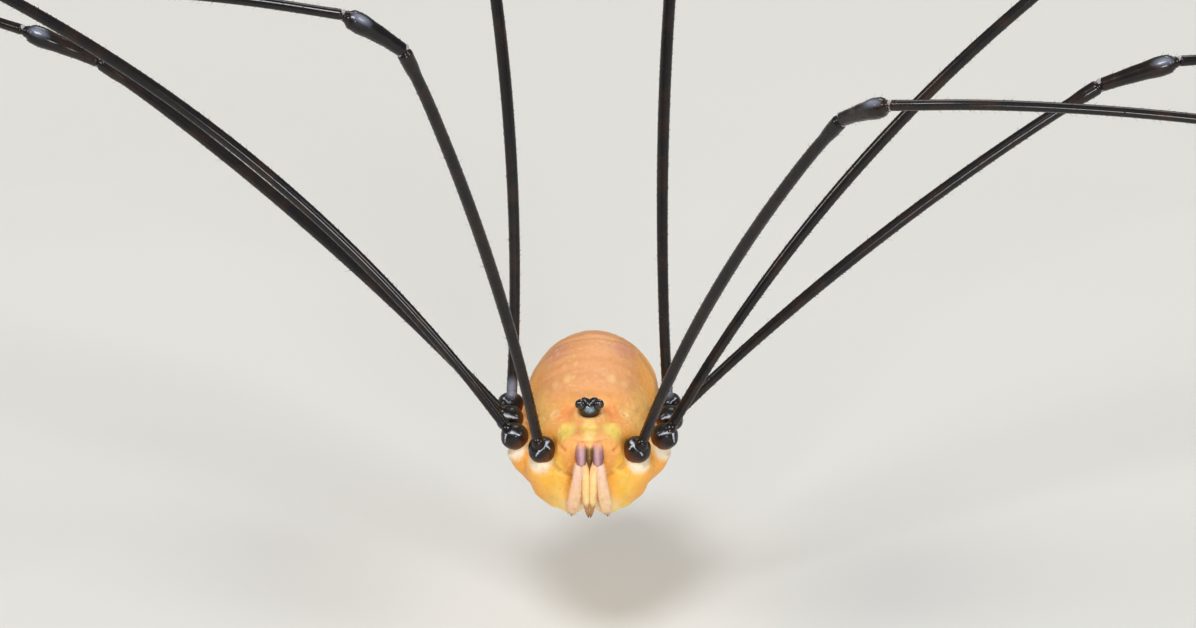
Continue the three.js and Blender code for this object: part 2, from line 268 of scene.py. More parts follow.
def placed(name, data):
    """An object in the scene that shows a mesh, a lamp or a camera."""
    thing = bpy.data.objects.new(name, data)
    bpy.context.scene.collection.objects.link(thing)
    return thing


def joined(shapes):
    """Several bmeshes as one. The others are freed."""
    first, *rest = shapes
    for shape in rest:
        scrap = as_mesh(shape, "scrap")
        first.from_mesh(scrap)
        bpy.data.meshes.remove(scrap)
    return first


def smoothed(shape, rounds=1):
    """Evens out a shape a number of times."""
    for _ in range(rounds):
        bmesh.ops.smooth_vert(
            shape, verts=shape.verts, factor=0.5, use_axis_x=True, use_axis_y=True, use_axis_z=True
        )


def painted(shape, material):
    """The shape with one of the piece's materials on all its faces."""
    for face in shape.faces:
        face.material_index = material
    return shape


def copy_of(node, margin=0.0):
    """A CAD node in millimetres, its triangles merged, grown outwards by a margin."""
    made = bmesh.new()
    made.from_mesh(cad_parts[node].data)
    bmesh.ops.scale(made, vec=(1 / MM,) * 3, verts=made.verts)
    bmesh.ops.remove_doubles(made, verts=made.verts, dist=MERGE_DISTANCE)
    bmesh.ops.recalc_face_normals(made, faces=made.faces)
    made.normal_update()
    if margin:
        for vert in made.verts:
            vert.co += vert.normal * margin
    return made


def fused(shapes, voxel, rounds):
    """One closed skin over overlapping shapes, smoothed a number of times."""
    mesh = as_mesh(joined(shapes), "fused")
    holder = placed("fused", mesh)
    remesh = holder.modifiers.new("fused", "REMESH")
    remesh.mode = "VOXEL"
    remesh.voxel_size = voxel
    bpy.context.view_layer.update()
    made = bmesh.new()
    made.from_object(holder, bpy.context.evaluated_depsgraph_get())
    bpy.data.objects.remove(holder)
    bpy.data.meshes.remove(mesh)
    smoothed(made, rounds)
    made.normal_update()
    return made


def ball(centre, sizes, turn=None, across=32, rings=20):
    """An ellipsoid of three half sizes, which may be turned."""
    made = bmesh.new()
    bmesh.ops.create_uvsphere(made, u_segments=across, v_segments=rings, radius=1)
    matrix = Matrix.Translation(centre) @ (turn or Matrix()) @ Matrix.Diagonal((*sizes, 1))
    bmesh.ops.transform(made, matrix=matrix, verts=made.verts)
    return made


class Line:
    """A smooth line through a few points, with a frame that doesn't twist along it."""

    def __init__(self, points, steps, up=Vector((0, 0, 1))):
        places = np.array([tuple(p) for p in points], float)
        chords = np.linalg.norm(np.diff(places, axis=0), axis=1)
        at = np.concatenate([[0], np.cumsum(chords)])
        slopes = np.gradient(places, at, axis=0)
        wanted = np.linspace(0, at[-1], steps + 1)
        i = np.clip(np.searchsorted(at, wanted, side="right") - 1, 0, len(chords) - 1)
        width = chords[i][:, None]
        t = ((wanted - at[i]) / chords[i])[:, None]
        self.places = (
            (2 * t**3 - 3 * t**2 + 1) * places[i]
            + (t**3 - 2 * t**2 + t) * width * slopes[i]
            + (3 * t**2 - 2 * t**3) * places[i + 1]
            + (t**3 - t**2) * width * slopes[i + 1]
        )
        self.length = at[-1]
        self.steps = steps
        along = np.gradient(self.places, axis=0)
        self.along = along / np.linalg.norm(along, axis=1)[:, None]
        over = np.array(up, float)
        self.over = np.zeros_like(self.places)
        for k, direction in enumerate(self.along):
            over = over - direction * (over @ direction)
            over = over / np.linalg.norm(over)
            self.over[k] = over
        self.across = np.cross(self.along, self.over)

    def at(self, share):
        """The point, and the directions along, across and over the line, at a share of its length."""
        place = min(max(share, 0.0), 1.0) * self.steps
        low = min(int(place), self.steps - 1)
        part = place - low
        rows = (self.places, self.along, self.across, self.over)
        return [Vector(row[low] * (1 - part) + row[low + 1] * part) for row in rows]


def crowded(share):
    """Moves even shares towards both ends, where a tube needs more rings."""
    return share - CROWDING * math.sin(2 * math.pi * share) / (2 * math.pi)


def spindle(sides, tip, cuts):
    """A closed cone of unit height on a base of unit radius, with a number of cuts round it."""
    made = bmesh.new()
    bmesh.ops.create_cone(made, cap_ends=True, segments=sides, radius1=1, radius2=tip, depth=1)
    if cuts:
        upright = [e for e in made.edges if abs(e.verts[0].co.z - e.verts[1].co.z) > 0.5]
        bmesh.ops.subdivide_edges(made, edges=upright, cuts=cuts)
    return made


def tube(line, radius_at, sides, rings):
    """A closed tube round a line. Its radius may depend on the share of its length."""
    made = spindle(sides, 1, rings - 1)
    for vert in made.verts:
        share = crowded(vert.co.z + 0.5)
        point, _, across, over = line.at(share)
        radius = radius_at(share)
        vert.co = point + across * vert.co.x * radius + over * vert.co.y * radius
    bmesh.ops.recalc_face_normals(made, faces=made.faces)
    return made


def profile(*stops):
    """A radius along a piece, smooth between stops of (share, radius)."""
    shares = np.array([s for s, _ in stops])
    radii = np.array([r for _, r in stops])

    def radius_at(share):
        i = int(np.clip(np.searchsorted(shares, share, side="right") - 1, 0, len(stops) - 2))
        part = ease(shares[i], shares[i + 1], share)
        return float(radii[i] * (1 - part) + radii[i + 1] * part)

    return radius_at


def thorn(sides, bend, cuts=0, tip=0.12):
    """A thorn or hair of unit height and width on its closed base, leaning over to +X."""
    made = spindle(sides, tip, cuts)
    for vert in made.verts:
        height = vert.co.z + 0.5
        vert.co.z = height
        vert.co.x += bend * height * height
    return as_mesh(made, "thorn")


def planted(template, matrices, material=0):
    """Copies of a small mesh set at each of many places, as one bmesh. The mesh is removed."""
    made = bmesh.new()
    for matrix in matrices:
        copy = template.copy()
        copy.transform(matrix)
        made.from_mesh(copy)
        bpy.data.meshes.remove(copy)
    bpy.data.meshes.remove(template)
    return painted(made, material)


def standing(root, out, lean, width, height):
    """The matrix of a thorn at a root, pointing out, whose bend goes the way of lean."""
    z = out.normalized()
    x = (lean - z * lean.dot(z)).normalized()
    y = z.cross(x)
    turn = Matrix((x, y, z)).transposed().to_4x4()
    return Matrix.Translation(root) @ turn @ Matrix.Diagonal((width, width, height, 1))


def deliver(shape, name, materials, nodes, attributes=None):
    """Finishes a piece: metres, smooth faces, materials, and the CAD nodes that it stands for."""
    mesh = as_mesh(shape, name)
    mesh.transform(Matrix.Scale(MM, 4))
    for key, values in (attributes or {}).items():
        mesh.attributes.new(key, "FLOAT", "POINT").data.foreach_set("value", values.astype(np.float32))
    for material in materials:
        mesh.materials.append(material)
    mesh.shade_smooth()
    piece = placed(name, mesh)
    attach(piece, "root")
    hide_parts(*nodes)


def vertex_places(shape):
    return np.array([v.co for v in shape.verts], float)


def vertex_normals(shape):
    shape.normal_update()
    return np.array([v.normal for v in shape.verts], float)


def move_verts(shape, places):
    for vert, place in zip(shape.verts, places):
        vert.co = place


# The skin of the trunk and the coxae


class SkinSettings(bpy.types.PropertyGroup):
    voxel: bpy.props.FloatProperty(
        name="Mesh spacing",
        description="Distance between the skin's vertices in millimetres",
        default=0.036,
    )
    closing: bpy.props.FloatProperty(
        name="Closing",
        description="Half the widest gap that the skin closes, in millimetres",
        default=0.075,
    )
    furrow: bpy.props.FloatProperty(
        name="Furrow depth",
        description="Depth of the furrows across the back, in millimetres",
        default=0.03,
    )
    body: bpy.props.FloatVectorProperty(
        name="Body",
        description="Orange of the flanks and the face",
        subtype="COLOR",
        default=tint("f0a545"),
    )
    back: bpy.props.FloatVectorProperty(
        name="Back",
        description="Peach of the hind body",
        subtype="COLOR",
        default=tint("e2a06a"),
    )
    carapace: bpy.props.FloatVectorProperty(
        name="Carapace",
        description="Warm yellow of the carapace",
        subtype="COLOR",
        default=tint("f3ac5c"),
    )
    patch: bpy.props.FloatVectorProperty(
        name="Patches",
        description="Yellow patches on the face",
        subtype="COLOR",
        default=tint("ffd968"),
    )
    cream: bpy.props.FloatVectorProperty(
        name="Coxal rims",
        description="Cream rims round the leg joints",
        subtype="COLOR",
        default=tint("f6e2c4"),
    )


# Sizes and places on the skin's left side in millimetres. The places are measured from BODY.
SCENT_PORE = (0.87, -1.0, 0.62)
LIP = {"height": 0.49, "half": 0.42}  # the carapace's front edge over the chelicerae
COXA_ROOTS = [(0.58, -1.52, -1.27), (0.6, -0.85, -1.2), (0.56, -0.08, -1.1), (0.54, 0.66, -1.02)]
COXA_REACH = (0.5, 0.72)  # from its axis, where a coxa's colour is full and where it has faded
COLLAR_RADIUS = 0.345
COLLAR_BACK = 0.17  # how far behind the trochanter's middle its collar has its own
# The spacing of the meshes that go into the skin, and the rounds of smoothing that each gets
TRUNK_MESH = (0.07, 12)
HIPS_MESH = (0.05, 5)
SKIN_ROUNDS = 3
# Creases in the skin: from and to, with their depth and width
FOLDS = [
    ((0.9, -1.85, 0.33), (0.62, -2.08, 0.2), 0.055, 0.05),
    ((0.36, -1.1, 0.88), (0.84, -0.85, 0.76), 0.022, 0.06),
    ((0.44, -1.45, 0.74), (0.88, -1.28, 0.58), 0.022, 0.06),
    ((1.12, -0.95, 0.5), (1.3, -0.5, 0.5), 0.03, 0.07),
]
FURROWS = (0.28, 0.86, 1.4, 1.9, 2.34)  # places of the furrows along the hind body
FURROW_BOW = 0.07  # how much further back a furrow lies for each millimetre to the side
FURROW_WIDTH = 0.09
EDGE_GROOVE = {"furrows": 1.2, "width": 0.15}  # behind the carapace, its depth in furrows
# Ring-shaped grooves: half sizes, place and depth, with the width as a share of the ring's size
VENT = {"half": 0.34, "height": 0.2, "z": 0.12, "depth": 0.05, "width": 0.22}  # at the hind end
PLATE = {"half": 0.38, "length": 0.8, "y": -0.35, "depth": 0.05, "width": 0.12}  # between the coxae
MOAT = {"half": 0.58, "length": 0.5, "depth": 0.03, "width": 0.16}  # round the eye mound
SLOPE = {"margin": 0.06, "at": 0.9, "rise": 0.075, "width": 0.3}  # the skin's rise to the mound
HOLLOW_ROUNDS = 6  # of smoothing, for the mean of what is round a vertex
HOLLOW_DEPTH = 0.012  # how deep a vertex lies below that mean where the painted shade is full
# Round spots on the skin: middle, full and faded radius, strength and colour
BACK_SPOTS = [
    ((1.2, -0.8, 0.4), 0.15, 0.6, 0.65, "ffc86e"),
    ((1.38, -0.2, 0.6), 0.15, 0.6, 0.65, "ffc86e"),
    ((0.8, 1.15, 1.25), 0.1, 0.5, 0.5, "cc8878"),
    ((0.56, -1.12, 0.78), 0.1, 0.42, 0.6, "f28a45"),
]
PALE_SPOTS = [
    (SCENT_PORE, 0.06, 0.22, 0.5, "fbd592"),
    ((0.53, 0.0, 1.1), 0.04, 0.2, 0.6, "fbd28a"),
    ((0.86, -0.02, 0.95), 0.04, 0.17, 0.5, "fbd28a"),
]


def seat(pair, side):
    return node_middle(f"trochanter_{pair}_{side}")


def coxa_axis(pair, side):
    """The direction in which a coxa grows, and the middle of its trochanter."""
    end = seat(pair, side)
    root = on_body(COXA_ROOTS[pair - 1], SIDES[side])
    return (end - root).normalized(), end


def collars():
    """Soft rings where the trochanters leave the coxae."""
    made = []
    for pair, side in LEGS:
        axis, end = coxa_axis(pair, side)
        made.append(ball(end - axis * COLLAR_BACK, (COLLAR_RADIUS,) * 3))
    return made


def skin_form(settings):
    """The trunk and the coxae under one skin, the size of the CAD nodes."""
    grow = settings.closing
    trunk = fused([copy_of("opisthosoma", grow), copy_of("prosoma", grow)], *TRUNK_MESH)
    hips = fused([copy_of("coxae_left", grow), copy_of("coxae_right", grow)], *HIPS_MESH)
    whole = fused([trunk, hips, *collars()], settings.voxel, SKIN_ROUNDS)
    places = vertex_places(whole)
    move_verts(whole, places - vertex_normals(whole) * grow)
    smoothed(whole)
    return whole


def groove(distance, width):
    """A soft valley, 1 deep on its line and fading out at its width."""
    return np.exp(-((distance / width) ** 2))


def mirrored(places):
    """Places from BODY, with those of the right side brought over to the left."""
    local = places - np.array(BODY)
    local[:, 0] = np.abs(local[:, 0])
    return local


def from_segment(local, start, end):
    """The distance of each place from a straight line between two places."""
    start, end = np.array(start, float), np.array(end, float)
    along = end - start
    share = np.clip(((local - start) @ along) / (along @ along), 0, 1)
    return np.linalg.norm(local - start - share[:, None] * along, axis=1)


def behind_edge(y, z):
    """How far a place is behind the carapace's edge, measured square to it."""
    lean = CARAPACE_EDGE["lean"]
    return (y - CARAPACE_EDGE["y"]) * math.cos(lean) + z * math.sin(lean)


def ring(across, along, half, length):
    """How far places are from the middle of an ellipse, on which this is 1."""
    return np.hypot(across / half, along / length)


def back_depth(x, y, z, furrow):
    """The depth of the groove behind the carapace and of the furrows round the hind body."""
    side = np.abs(x)
    top = ease(-0.15, 0.45, z)
    belly = ease(-0.35, -0.65, z) * ease(0.9, 1.2, y) * ease(1.1, 0.8, side)
    across = top * ease(1.35, 0.9, side) * (0.6 + 0.8 * ease(0.9, 1.8, y))
    edge = groove(behind_edge(y, z), EDGE_GROOVE["width"])
    depth = furrow * EDGE_GROOVE["furrows"] * edge * top
    for place in FURROWS:
        bend = place + FURROW_BOW * side
        depth += furrow * groove(y - bend, FURROW_WIDTH) * (across + belly)
    return depth


def ring_depth(x, y, z):
    """The depth of the grooves round the vent, the plate and the eye mound."""
    front = y - MOUND["y"]
    vent = ring(x, z - VENT["z"], VENT["half"], VENT["height"])
    plate = ring(x, y - PLATE["y"], PLATE["half"], PLATE["length"])
    moat = ring(x, front, MOAT["half"], MOAT["length"])
    slope = ring(x, front, MOUND["half"] + SLOPE["margin"], MOUND["length"] + SLOPE["margin"])
    depth = VENT["depth"] * groove(vent - 1, VENT["width"]) * ease(2.3, 2.5, y)
    depth += PLATE["depth"] * groove(plate - 1, PLATE["width"]) * ease(-0.8, -1.0, z)
    depth += MOAT["depth"] * groove(moat - 1, MOAT["width"]) * ease(0.3, 0.7, z)
    depth -= SLOPE["rise"] * groove(slope - SLOPE["at"], SLOPE["width"]) * ease(0.3, 0.6, z)
    return depth


def face_depth(x, y, z):
    """The depth of the sockets of the chelicerae, less the height of the lip over them."""
    side = np.abs(x)
    face = ease(-1.8, -1.98, y)
    under_lip = ease(LIP["height"] + 0.02, LIP["height"] - 0.05, z) * ease(-0.5, 0.0, z)
    depth = 0.075 * groove(side - 0.2, 0.24) * under_lip * face
    depth -= 0.015 * groove(z - LIP["height"] - 0.05, 0.09) * ease(0.62, LIP["half"], side) * face
    return depth


def furrowed(shape, settings):
    """Cuts the furrows, folds and pores into the skin and raises its fine grain."""
    places = vertex_places(shape)
    normals = vertex_normals(shape)
    x, y, z = (places - np.array(BODY)).T
    depth = back_depth(x, y, z, settings.furrow) + ring_depth(x, y, z) + face_depth(x, y, z)
    local = mirrored(places)
    for start, end, deep, width in FOLDS:
        depth += deep * groove(from_segment(local, start, end), width)
    pore = np.linalg.norm(local - np.array(SCENT_PORE), axis=1)
    depth += 0.014 * groove(pore, 0.05) - 0.018 * groove(pore - 0.12, 0.06)
    rough = [noise.noise(Vector(p) * 9.0) + 0.6 * noise.noise(Vector(p) * 21.0) for p in places]
    waves = [noise.noise(Vector(p) * 1.7) for p in places]
    depth -= 0.007 * np.array(rough) + 0.022 * np.array(waves)
    move_verts(shape, places - normals * depth[:, None])


def hollowness(shape):
    """How far each vertex lies below the mean of what is round it, from -1 to 1, for painted shade and
    highlight.
    """
    places = vertex_places(shape)
    normals = vertex_normals(shape)
    blurred = shape.copy()
    smoothed(blurred, HOLLOW_ROUNDS)
    lift = ((vertex_places(blurred) - places) * normals).sum(1)
    blurred.free()
    return np.clip(lift / HOLLOW_DEPTH, -1, 1)


def coxa_shares(places):
    """1 on the coxae and 0 on the trunk."""
    local = mirrored(places)
    rows = [from_segment(local, COXA_ROOTS[pair - 1], seat(pair, "left") - BODY) for pair in PAIRS]
    full, faded = COXA_REACH
    return ease(faded, full, np.minimum.reduce(rows))


def rim_shares(places):
    """1 on the pale rims round the trochanters, which are widest underneath."""
    found = np.zeros(len(places))
    for pair, side in LEGS:
        _, end = coxa_axis(pair, side)
        offset = places - np.array(end)
        far = np.linalg.norm(offset, axis=1)
        below = ease(0.05, -0.3, offset[:, 2])
        above = 0.1 if pair == 1 else 0.6
        reach = 0.47 + 0.17 * below * ease(0.4, 0.1, np.abs(offset[:, 0]))
        found = np.maximum(found, ease(reach + 0.03, reach - 0.17, far) * (above + (1 - above) * below))
    return found


def skin_finish(settings):
    finish = Finish("harvestman_skin")
    place = finish.place()
    x, y, z = finish.split(place)
    side = finish.absolute(x)
    folded = finish.joined(side, y, z)
    wander = finish.grain(place, 2.2, 2.0)
    behind = behind_edge(y, z)
    relief_shading = finish.attribute("relief_shading")
    coxa = finish.attribute("coxa")
    rim = finish.attribute("rim")

    # Large fields of colour, from the belly up
    upper = finish.step(-0.1, 0.55, z + 0.5 * (wander - 0.5))
    hind = finish.step(-0.25, 0.7, behind + 0.6 * (wander - 0.5)) * finish.step(1.75, 1.1, side) * upper
    # The flanks get their own orange, made brighter as painted light on the sides, which the lamps light less
    flank = finish.step(1.0, 1.45, side + 0.25 * (wander - 0.5)) * finish.step(-0.6, 0.2, behind)
    colour = finish.coats(
        settings.body,
        (finish.step(-0.9, -1.35, z) * finish.step(1.2, 0.7, side), "f6d9a2"),
        (upper * (1 - coxa), settings.carapace),
        (hind * 0.9, settings.back),
        (flank * 0.75 * (1 - coxa), "fdae48"),
    )

    # Warm spots, then the yellow patches of the face and pale spots on the carapace's edge
    colour = finish.spots(colour, folded, BACK_SPOTS)
    colour = finish.coats(
        colour,
        (finish.spot(folded, (0.61, -1.74, 0.61), 0.15, 0.37) * finish.step(0.2, 0.5, wander + 0.2),
         settings.patch),
        (finish.spot(folded, (0, -1.8, 0.68), 0.1, 0.3) * 0.85, settings.patch),
    )
    colour = finish.spots(colour, folded, PALE_SPOTS)

    # The coxae and the muzzle between the chelicerae, with painted shade in the gap under it
    outer = finish.step(0.8, 1.6, side + 0.6 * (wander - 0.5)) * 0.8
    muzzle = finish.step(0.2, 0.05, side) * finish.step(-1.75, -1.9, y) * finish.step(0.3, 0.45, z)
    hip = finish.mix(finish.step(0.3, 0.7, wander), tint("fcc03a"), tint("fed464"))
    hip = finish.mix(outer, hip, tint("f7a440"))
    # Painted shade: dark olive brown on the face where it shows between the roots of the chelicerae
    gap = finish.step(0.17, 0.08, side) * finish.step(-1.8, -1.92, y) * finish.step(0.42, 0.25, z)
    colour = finish.coats(
        colour,
        (muzzle * 0.8, "ffd27a"),
        (coxa * 0.9 * finish.step(0.25, -0.25, z), hip),
        (gap * finish.step(-0.6, -0.2, z) * 0.85, "7d5c2c"),
        (rim, finish.mix(rim, tint("fbd58c"), settings.cream)),
    )

    # Fine marks: faint cross bands and pale grains, then painted shade in the skin's hollows and a painted
    # highlight on its ridges
    waves = finish.node("ShaderNodeMath", {"operation": "SINE"}, {0: y * 11.5 + wander * 3})
    band = finish.step(0.2, 1.0, waves) * upper * finish.step(-0.4, 0.2, behind)
    warp = finish.node("ShaderNodeTexNoise", inputs={"Vector": place, "Scale": 3.0}, output="Color")
    warped = finish.node(
        "ShaderNodeVectorMath", {"operation": "MULTIPLY_ADD"}, {0: warp, 1: (0.35,) * 3, 2: place}
    )
    dots = finish.step(0.5, 0.12, finish.cells(warped, 6.5))
    thin = finish.step(0.35, 0.7, finish.grain(place, 1.7, 2.0))
    blotch = finish.step(0.5, 0.72, finish.grain(place, 4.5, 5.0, 0.65))
    colour = finish.coats(
        colour,
        (band * finish.step(1.3, 0.8, side) * 0.14, "b8692f"),
        (dots * thin * 0.34 * (1 - coxa), "ffdca6"),
        (blotch * 0.3, "d67d35"),
        (finish.step(0.25, 1.0, relief_shading) * (1 - rim) * 0.45, "a9551c"),
        (finish.step(-0.1, -0.8, relief_shading) * 0.15, "ffe3b4"),
    )

    fine = finish.grain(place, 30.0, 4.0)
    pebbles = finish.step(0.55, 0.1, finish.cells(warped, 12.0))
    relief = dots * 0.4 + pebbles * 0.35 + fine * 0.3
    return finish.surface(
        base_color=colour,
        roughness=0.42 + 0.2 * fine - 0.06 * dots,
        normal=finish.bump(relief, 0.016, 0.7),
        subsurface_weight=0.22,
        subsurface_radius=(1.0, 0.45, 0.18),
        subsurface_scale=0.16 * MM,
        coat_weight=0.12,
        coat_roughness=0.3,
    )


class HARVESTMAN_OT_skin(bpy.types.Operator):
    """Make the one skin of the trunk and the coxae"""

    bl_idname = "harvestman.skin"
    bl_label = "Skin of trunk and coxae"

    def execute(self, context):
        settings = context.scene.harvestman_skin
        shape = skin_form(settings)
        furrowed(shape, settings)
        places = vertex_places(shape)
        attributes = {
            "relief_shading": hollowness(shape),
            "coxa": coxa_shares(places),
            "rim": rim_shares(places),
        }
        nodes = ("opisthosoma", "prosoma", "coxae_left", "coxae_right")
        deliver(shape, "skin", [skin_finish(settings)], nodes, attributes)
        return {"FINISHED"}


# The eye mound and the eyes


class EyeSettings(bpy.types.PropertyGroup):
    mound: bpy.props.FloatVectorProperty(
        name="Eye mound",
        description="Black of the eye mound",
        subtype="COLOR",
        default=tint("0b0a0c"),
    )
    base: bpy.props.FloatVectorProperty(
        name="Mound base",
        description="Brown where the mound meets the skin",
        subtype="COLOR",
        default=tint("7a3d12"),
    )
    lens: bpy.props.FloatVectorProperty(
        name="Lens",
        description="Black of the eyes",
        subtype="COLOR",
        default=tint("080405"),
    )
    teeth: bpy.props.IntProperty(name="Teeth", description="Small teeth over each eye", default=6, min=0)


def mound_form():
    """The eye mound: a dome with a shallow cleft along its top and a brow round each eye."""
    shape = ball((0, 0, 0), (1, 1, 1), across=64, rings=48)
    centre = Vector((0, MOUND["y"], MOUND["base"]))
    eye = Vector(EYE)
    for vert in shape.verts:
        x, y, z = vert.co
        foot = 1 - 0.3 * float(ease(0.55, -0.3, z))
        wide = math.copysign(abs(x) ** 0.85, x) * MOUND["half"] * foot * (1 + 0.2 * float(ease(0.2, 0.7, z)))
        high = z * MOUND["height"] - 0.06 * math.exp(-((wide / 0.07) ** 2)) * float(ease(0.55, 0.95, z))
        local = centre + Vector((wide, y * MOUND["length"] * foot, high))
        far = (Vector((abs(local.x), local.y, local.z)) - eye).length
        brow = 0.025 * math.exp(-(((far - EYE_RADIUS * 1.2) / 0.05) ** 2)) * float(ease(0, 0.3, z))
        vert.co = BODY + local + (local - centre).normalized() * brow
    shape.normal_update()
    return shape


def mound_teeth(count, dice):
    """Two rows of small blunt teeth along the top of the mound."""
    template = thorn(6, 0.1, cuts=1, tip=0.35)
    matrices = []
    for side in SIDES.values():
        for i in range(count):
            angle = math.radians(-50 + 100 * i / max(count - 1, 1))
            out = Vector((side * 0.35, math.sin(angle), math.cos(angle))).normalized()
            y = MOUND["y"] + math.sin(angle) * MOUND["length"] * 0.84
            z = MOUND["base"] + math.cos(angle) * MOUND["height"] * 0.9
            height = 0.016 + 0.008 * dice.random()
            root = on_body((side * 0.14, y, z))
            matrices.append(standing(root, out, Vector((0, -1, 0)), 0.014, height))
    return planted(template, matrices)


def mound_finish(settings):
    finish = Finish("harvestman_eye_mound")
    place = finish.place()
    _, y, z = finish.split(place)
    fine = finish.grain(place, 30.0)
    foot = finish.step(0.88, 0.8, z + 0.08 * (fine - 0.5) - 0.3 * (y - MOUND["y"]))
    # Painted highlight: a pale blue-grey patch on the mound's front, where the key lamp's reflection falls
    painted_sheen = finish.spot(finish.stretched(place, (0.7, 1, 1)), (0, -1.52, 1.03), 0.02, 0.12)
    colour = finish.mix(foot, settings.mound, settings.base)
    colour = finish.mix(painted_sheen * finish.step(0.25, 0.55, fine) * 0.8, colour, tint("a3b7c2"))
    return finish.surface(
        base_color=colour,
        roughness=0.16 + 0.16 * fine,
        normal=finish.bump(finish.step(0.6, 0.1, finish.cells(place, 16.0)) + 0.4 * fine, 0.005, 0.4),
        coat_weight=0.6,
        coat_roughness=0.08,
    )


def lens_form(side):
    """An eyeball whose outer cap bulges as a lens."""
    centre = on_body(EYE, SIDES[side])
    made = bmesh.new()
    bmesh.ops.create_icosphere(made, subdivisions=5, radius=1)
    outward = Vector((SIDES[side] * 0.9, -0.35, 0.25)).normalized()
    for vert in made.verts:
        facing = vert.co.dot(outward)
        bulge = 1 + 0.05 * float(ease(0.6, 0.85, facing)) - 0.04 * math.exp(-(((facing - 0.55) / 0.09) ** 2))
        vert.co = centre + vert.co * EYE_RADIUS * bulge
    facing = np.array([(v.co - centre).normalized().dot(outward) for v in made.verts])
    return made, ease(0.4, 0.62, facing)


def lens_finish(settings):
    finish = Finish("harvestman_eye_lens")
    lens = finish.attribute("lens")
    return finish.surface(
        base_color=finish.mix(lens, tint("140a07"), settings.lens),
        roughness=0.22 - 0.16 * lens,
        coat_weight=1.0,
        coat_roughness=0.03,
    )


class HARVESTMAN_OT_eyes(bpy.types.Operator):
    """Make the eye mound and the two eyes"""

    bl_idname = "harvestman.eyes"
    bl_label = "Eye mound and eyes"

    def execute(self, context):
        settings = context.scene.harvestman_eyes
        shape = joined([mound_form(), mound_teeth(settings.teeth, random.Random(3))])
        deliver(shape, "eye_mound", [mound_finish(settings)], ["ocularium"])
        lens = lens_finish(settings)
        for side in SIDES:
            shape, shares = lens_form(side)
            deliver(shape, f"lens_{side}", [lens], [f"eye_{side}"], {"lens": shares})
        return {"FINISHED"}


# The chelicerae and pedipalps


class MouthSettings(bpy.types.PropertyGroup):
    mauve: bpy.props.FloatVectorProperty(
        name="Chelicera root",
        description="Mauve of the first articles",
        subtype="COLOR",
        default=tint("a07076"),
    )
    hand: bpy.props.FloatVectorProperty(
        name="Chelicera hand",
        description="Yellow of the hands",
        subtype="COLOR",
        default=tint("ffd386"),
    )
    claw: bpy.props.FloatVectorProperty(
        name="Claws",
        description="Brown of fingers and claws",
        subtype="COLOR",
        default=tint("c08845"),
    )
    palp: bpy.props.FloatVectorProperty(
        name="Pedipalps",
        description="Pale peach of the palps",
        subtype="COLOR",
        default=tint("f2c39a"),
    )


# Articles as lines through places on the left side, with radii in millimetres.
CHELICERA_ROOT = {
    "line": [(0.18, -1.75, 0.28), (0.2, -2.1, 0.3), (0.21, -2.34, 0.12), (0.195, -2.46, -0.08)],
    "radii": [(0, 0.1), (0.3, 0.135), (0.72, 0.145), (0.92, 0.12), (1, 0.07)],
}
CHELICERA_HAND = {
    "line": [(0.16, -2.38, 0.02), (0.11, -2.5, -0.24), (0.092, -2.54, -0.7), (0.076, -2.5, -1.14)],
    "radii": [(0, 0.09), (0.16, 0.115), (0.6, 0.108), (0.88, 0.094), (1, 0.06)],
}
FINGER_RADII = [(0, 0.045), (0.7, 0.028), (1, 0.008)]
FIXED_FINGER = {
    "line": [(0.05, -2.51, -1.06), (0.036, -2.49, -1.28), (0.014, -2.43, -1.5)],
    "radii": FINGER_RADII,
}
FREE_FINGER = {
    "line": [(0.1, -2.52, -1.06), (0.082, -2.5, -1.28), (0.026, -2.43, -1.51)],
    "radii": FINGER_RADII,
}
PALP_FEMUR = {
    "line": [(0.4, -1.9, -0.6), (0.31, -2.12, -0.32), (0.27, -2.32, -0.08)],
    "radii": [(0, 0.1), (0.5, 0.105), (0.9, 0.105), (1, 0.09)],
}
PALP_PATELLA = {
    "line": [(0.285, -2.36, -0.06), (0.275, -2.48, -0.1), (0.3, -2.55, -0.42)],
    "radii": [(0, 0.09), (0.4, 0.11), (0.85, 0.13), (1, 0.12)],
}
PALP_TIBIA = {
    "line": [(0.295, -2.54, -0.36), (0.335, -2.57, -0.62), (0.37, -2.56, -0.9)],
    "radii": [(0, 0.12), (0.3, 0.14), (0.85, 0.16), (1, 0.14)],
}
PALP_TARSUS = {
    "line": [(0.365, -2.56, -0.82), (0.4, -2.52, -1.1), (0.445, -2.43, -1.4)],
    "radii": [(0, 0.14), (0.3, 0.155), (0.72, 0.14), (0.95, 0.08), (1, 0.035)],
}


# How fine hairs stand on an article: from and to along it, their lean and width
HAIR_SPAN = (0.1, 0.95)
HAIR_LEAN = 0.6
HAIR_WIDTH = 0.0045
FINGER_TEETH = {"count": 5, "start": 0.25, "span": 0.6, "width": 0.013, "height": 0.032}
ARTICLE_STEPS = 24
ACROSS = Vector((1, 0, 0))
# The places of the materials in the lists of the chelicerae and of the pedipalps
ROOT, HAND, FINGER, CHELICERA_HAIR = range(4)
PALP, PALP_CLAW, PALP_HAIR = range(3)


def article(parts, side, rings, sides, material):
    """A tube along an article's line, and that line."""
    line = Line([on_body(place, side) for place in parts["line"]], ARTICLE_STEPS, up=ACROSS)
    return painted(tube(line, profile(*parts["radii"]), sides, rings), material), line


def hairs_on(line, radius_at, count, height, dice):
    """Where fine hairs stand on an article, leaning towards its tip."""
    start, end = HAIR_SPAN
    matrices = []
    for _ in range(count):
        share = start + (end - start) * dice.random()
        angle = 2 * math.pi * dice.random()
        point, along, across, over = line.at(share)
        out = across * math.cos(angle) + over * math.sin(angle)
        root = point + out * radius_at(share) * 0.95
        tall = height * (0.7 + 0.6 * dice.random())
        matrices.append(standing(root, out + along * HAIR_LEAN, along, HAIR_WIDTH, tall))
    return matrices


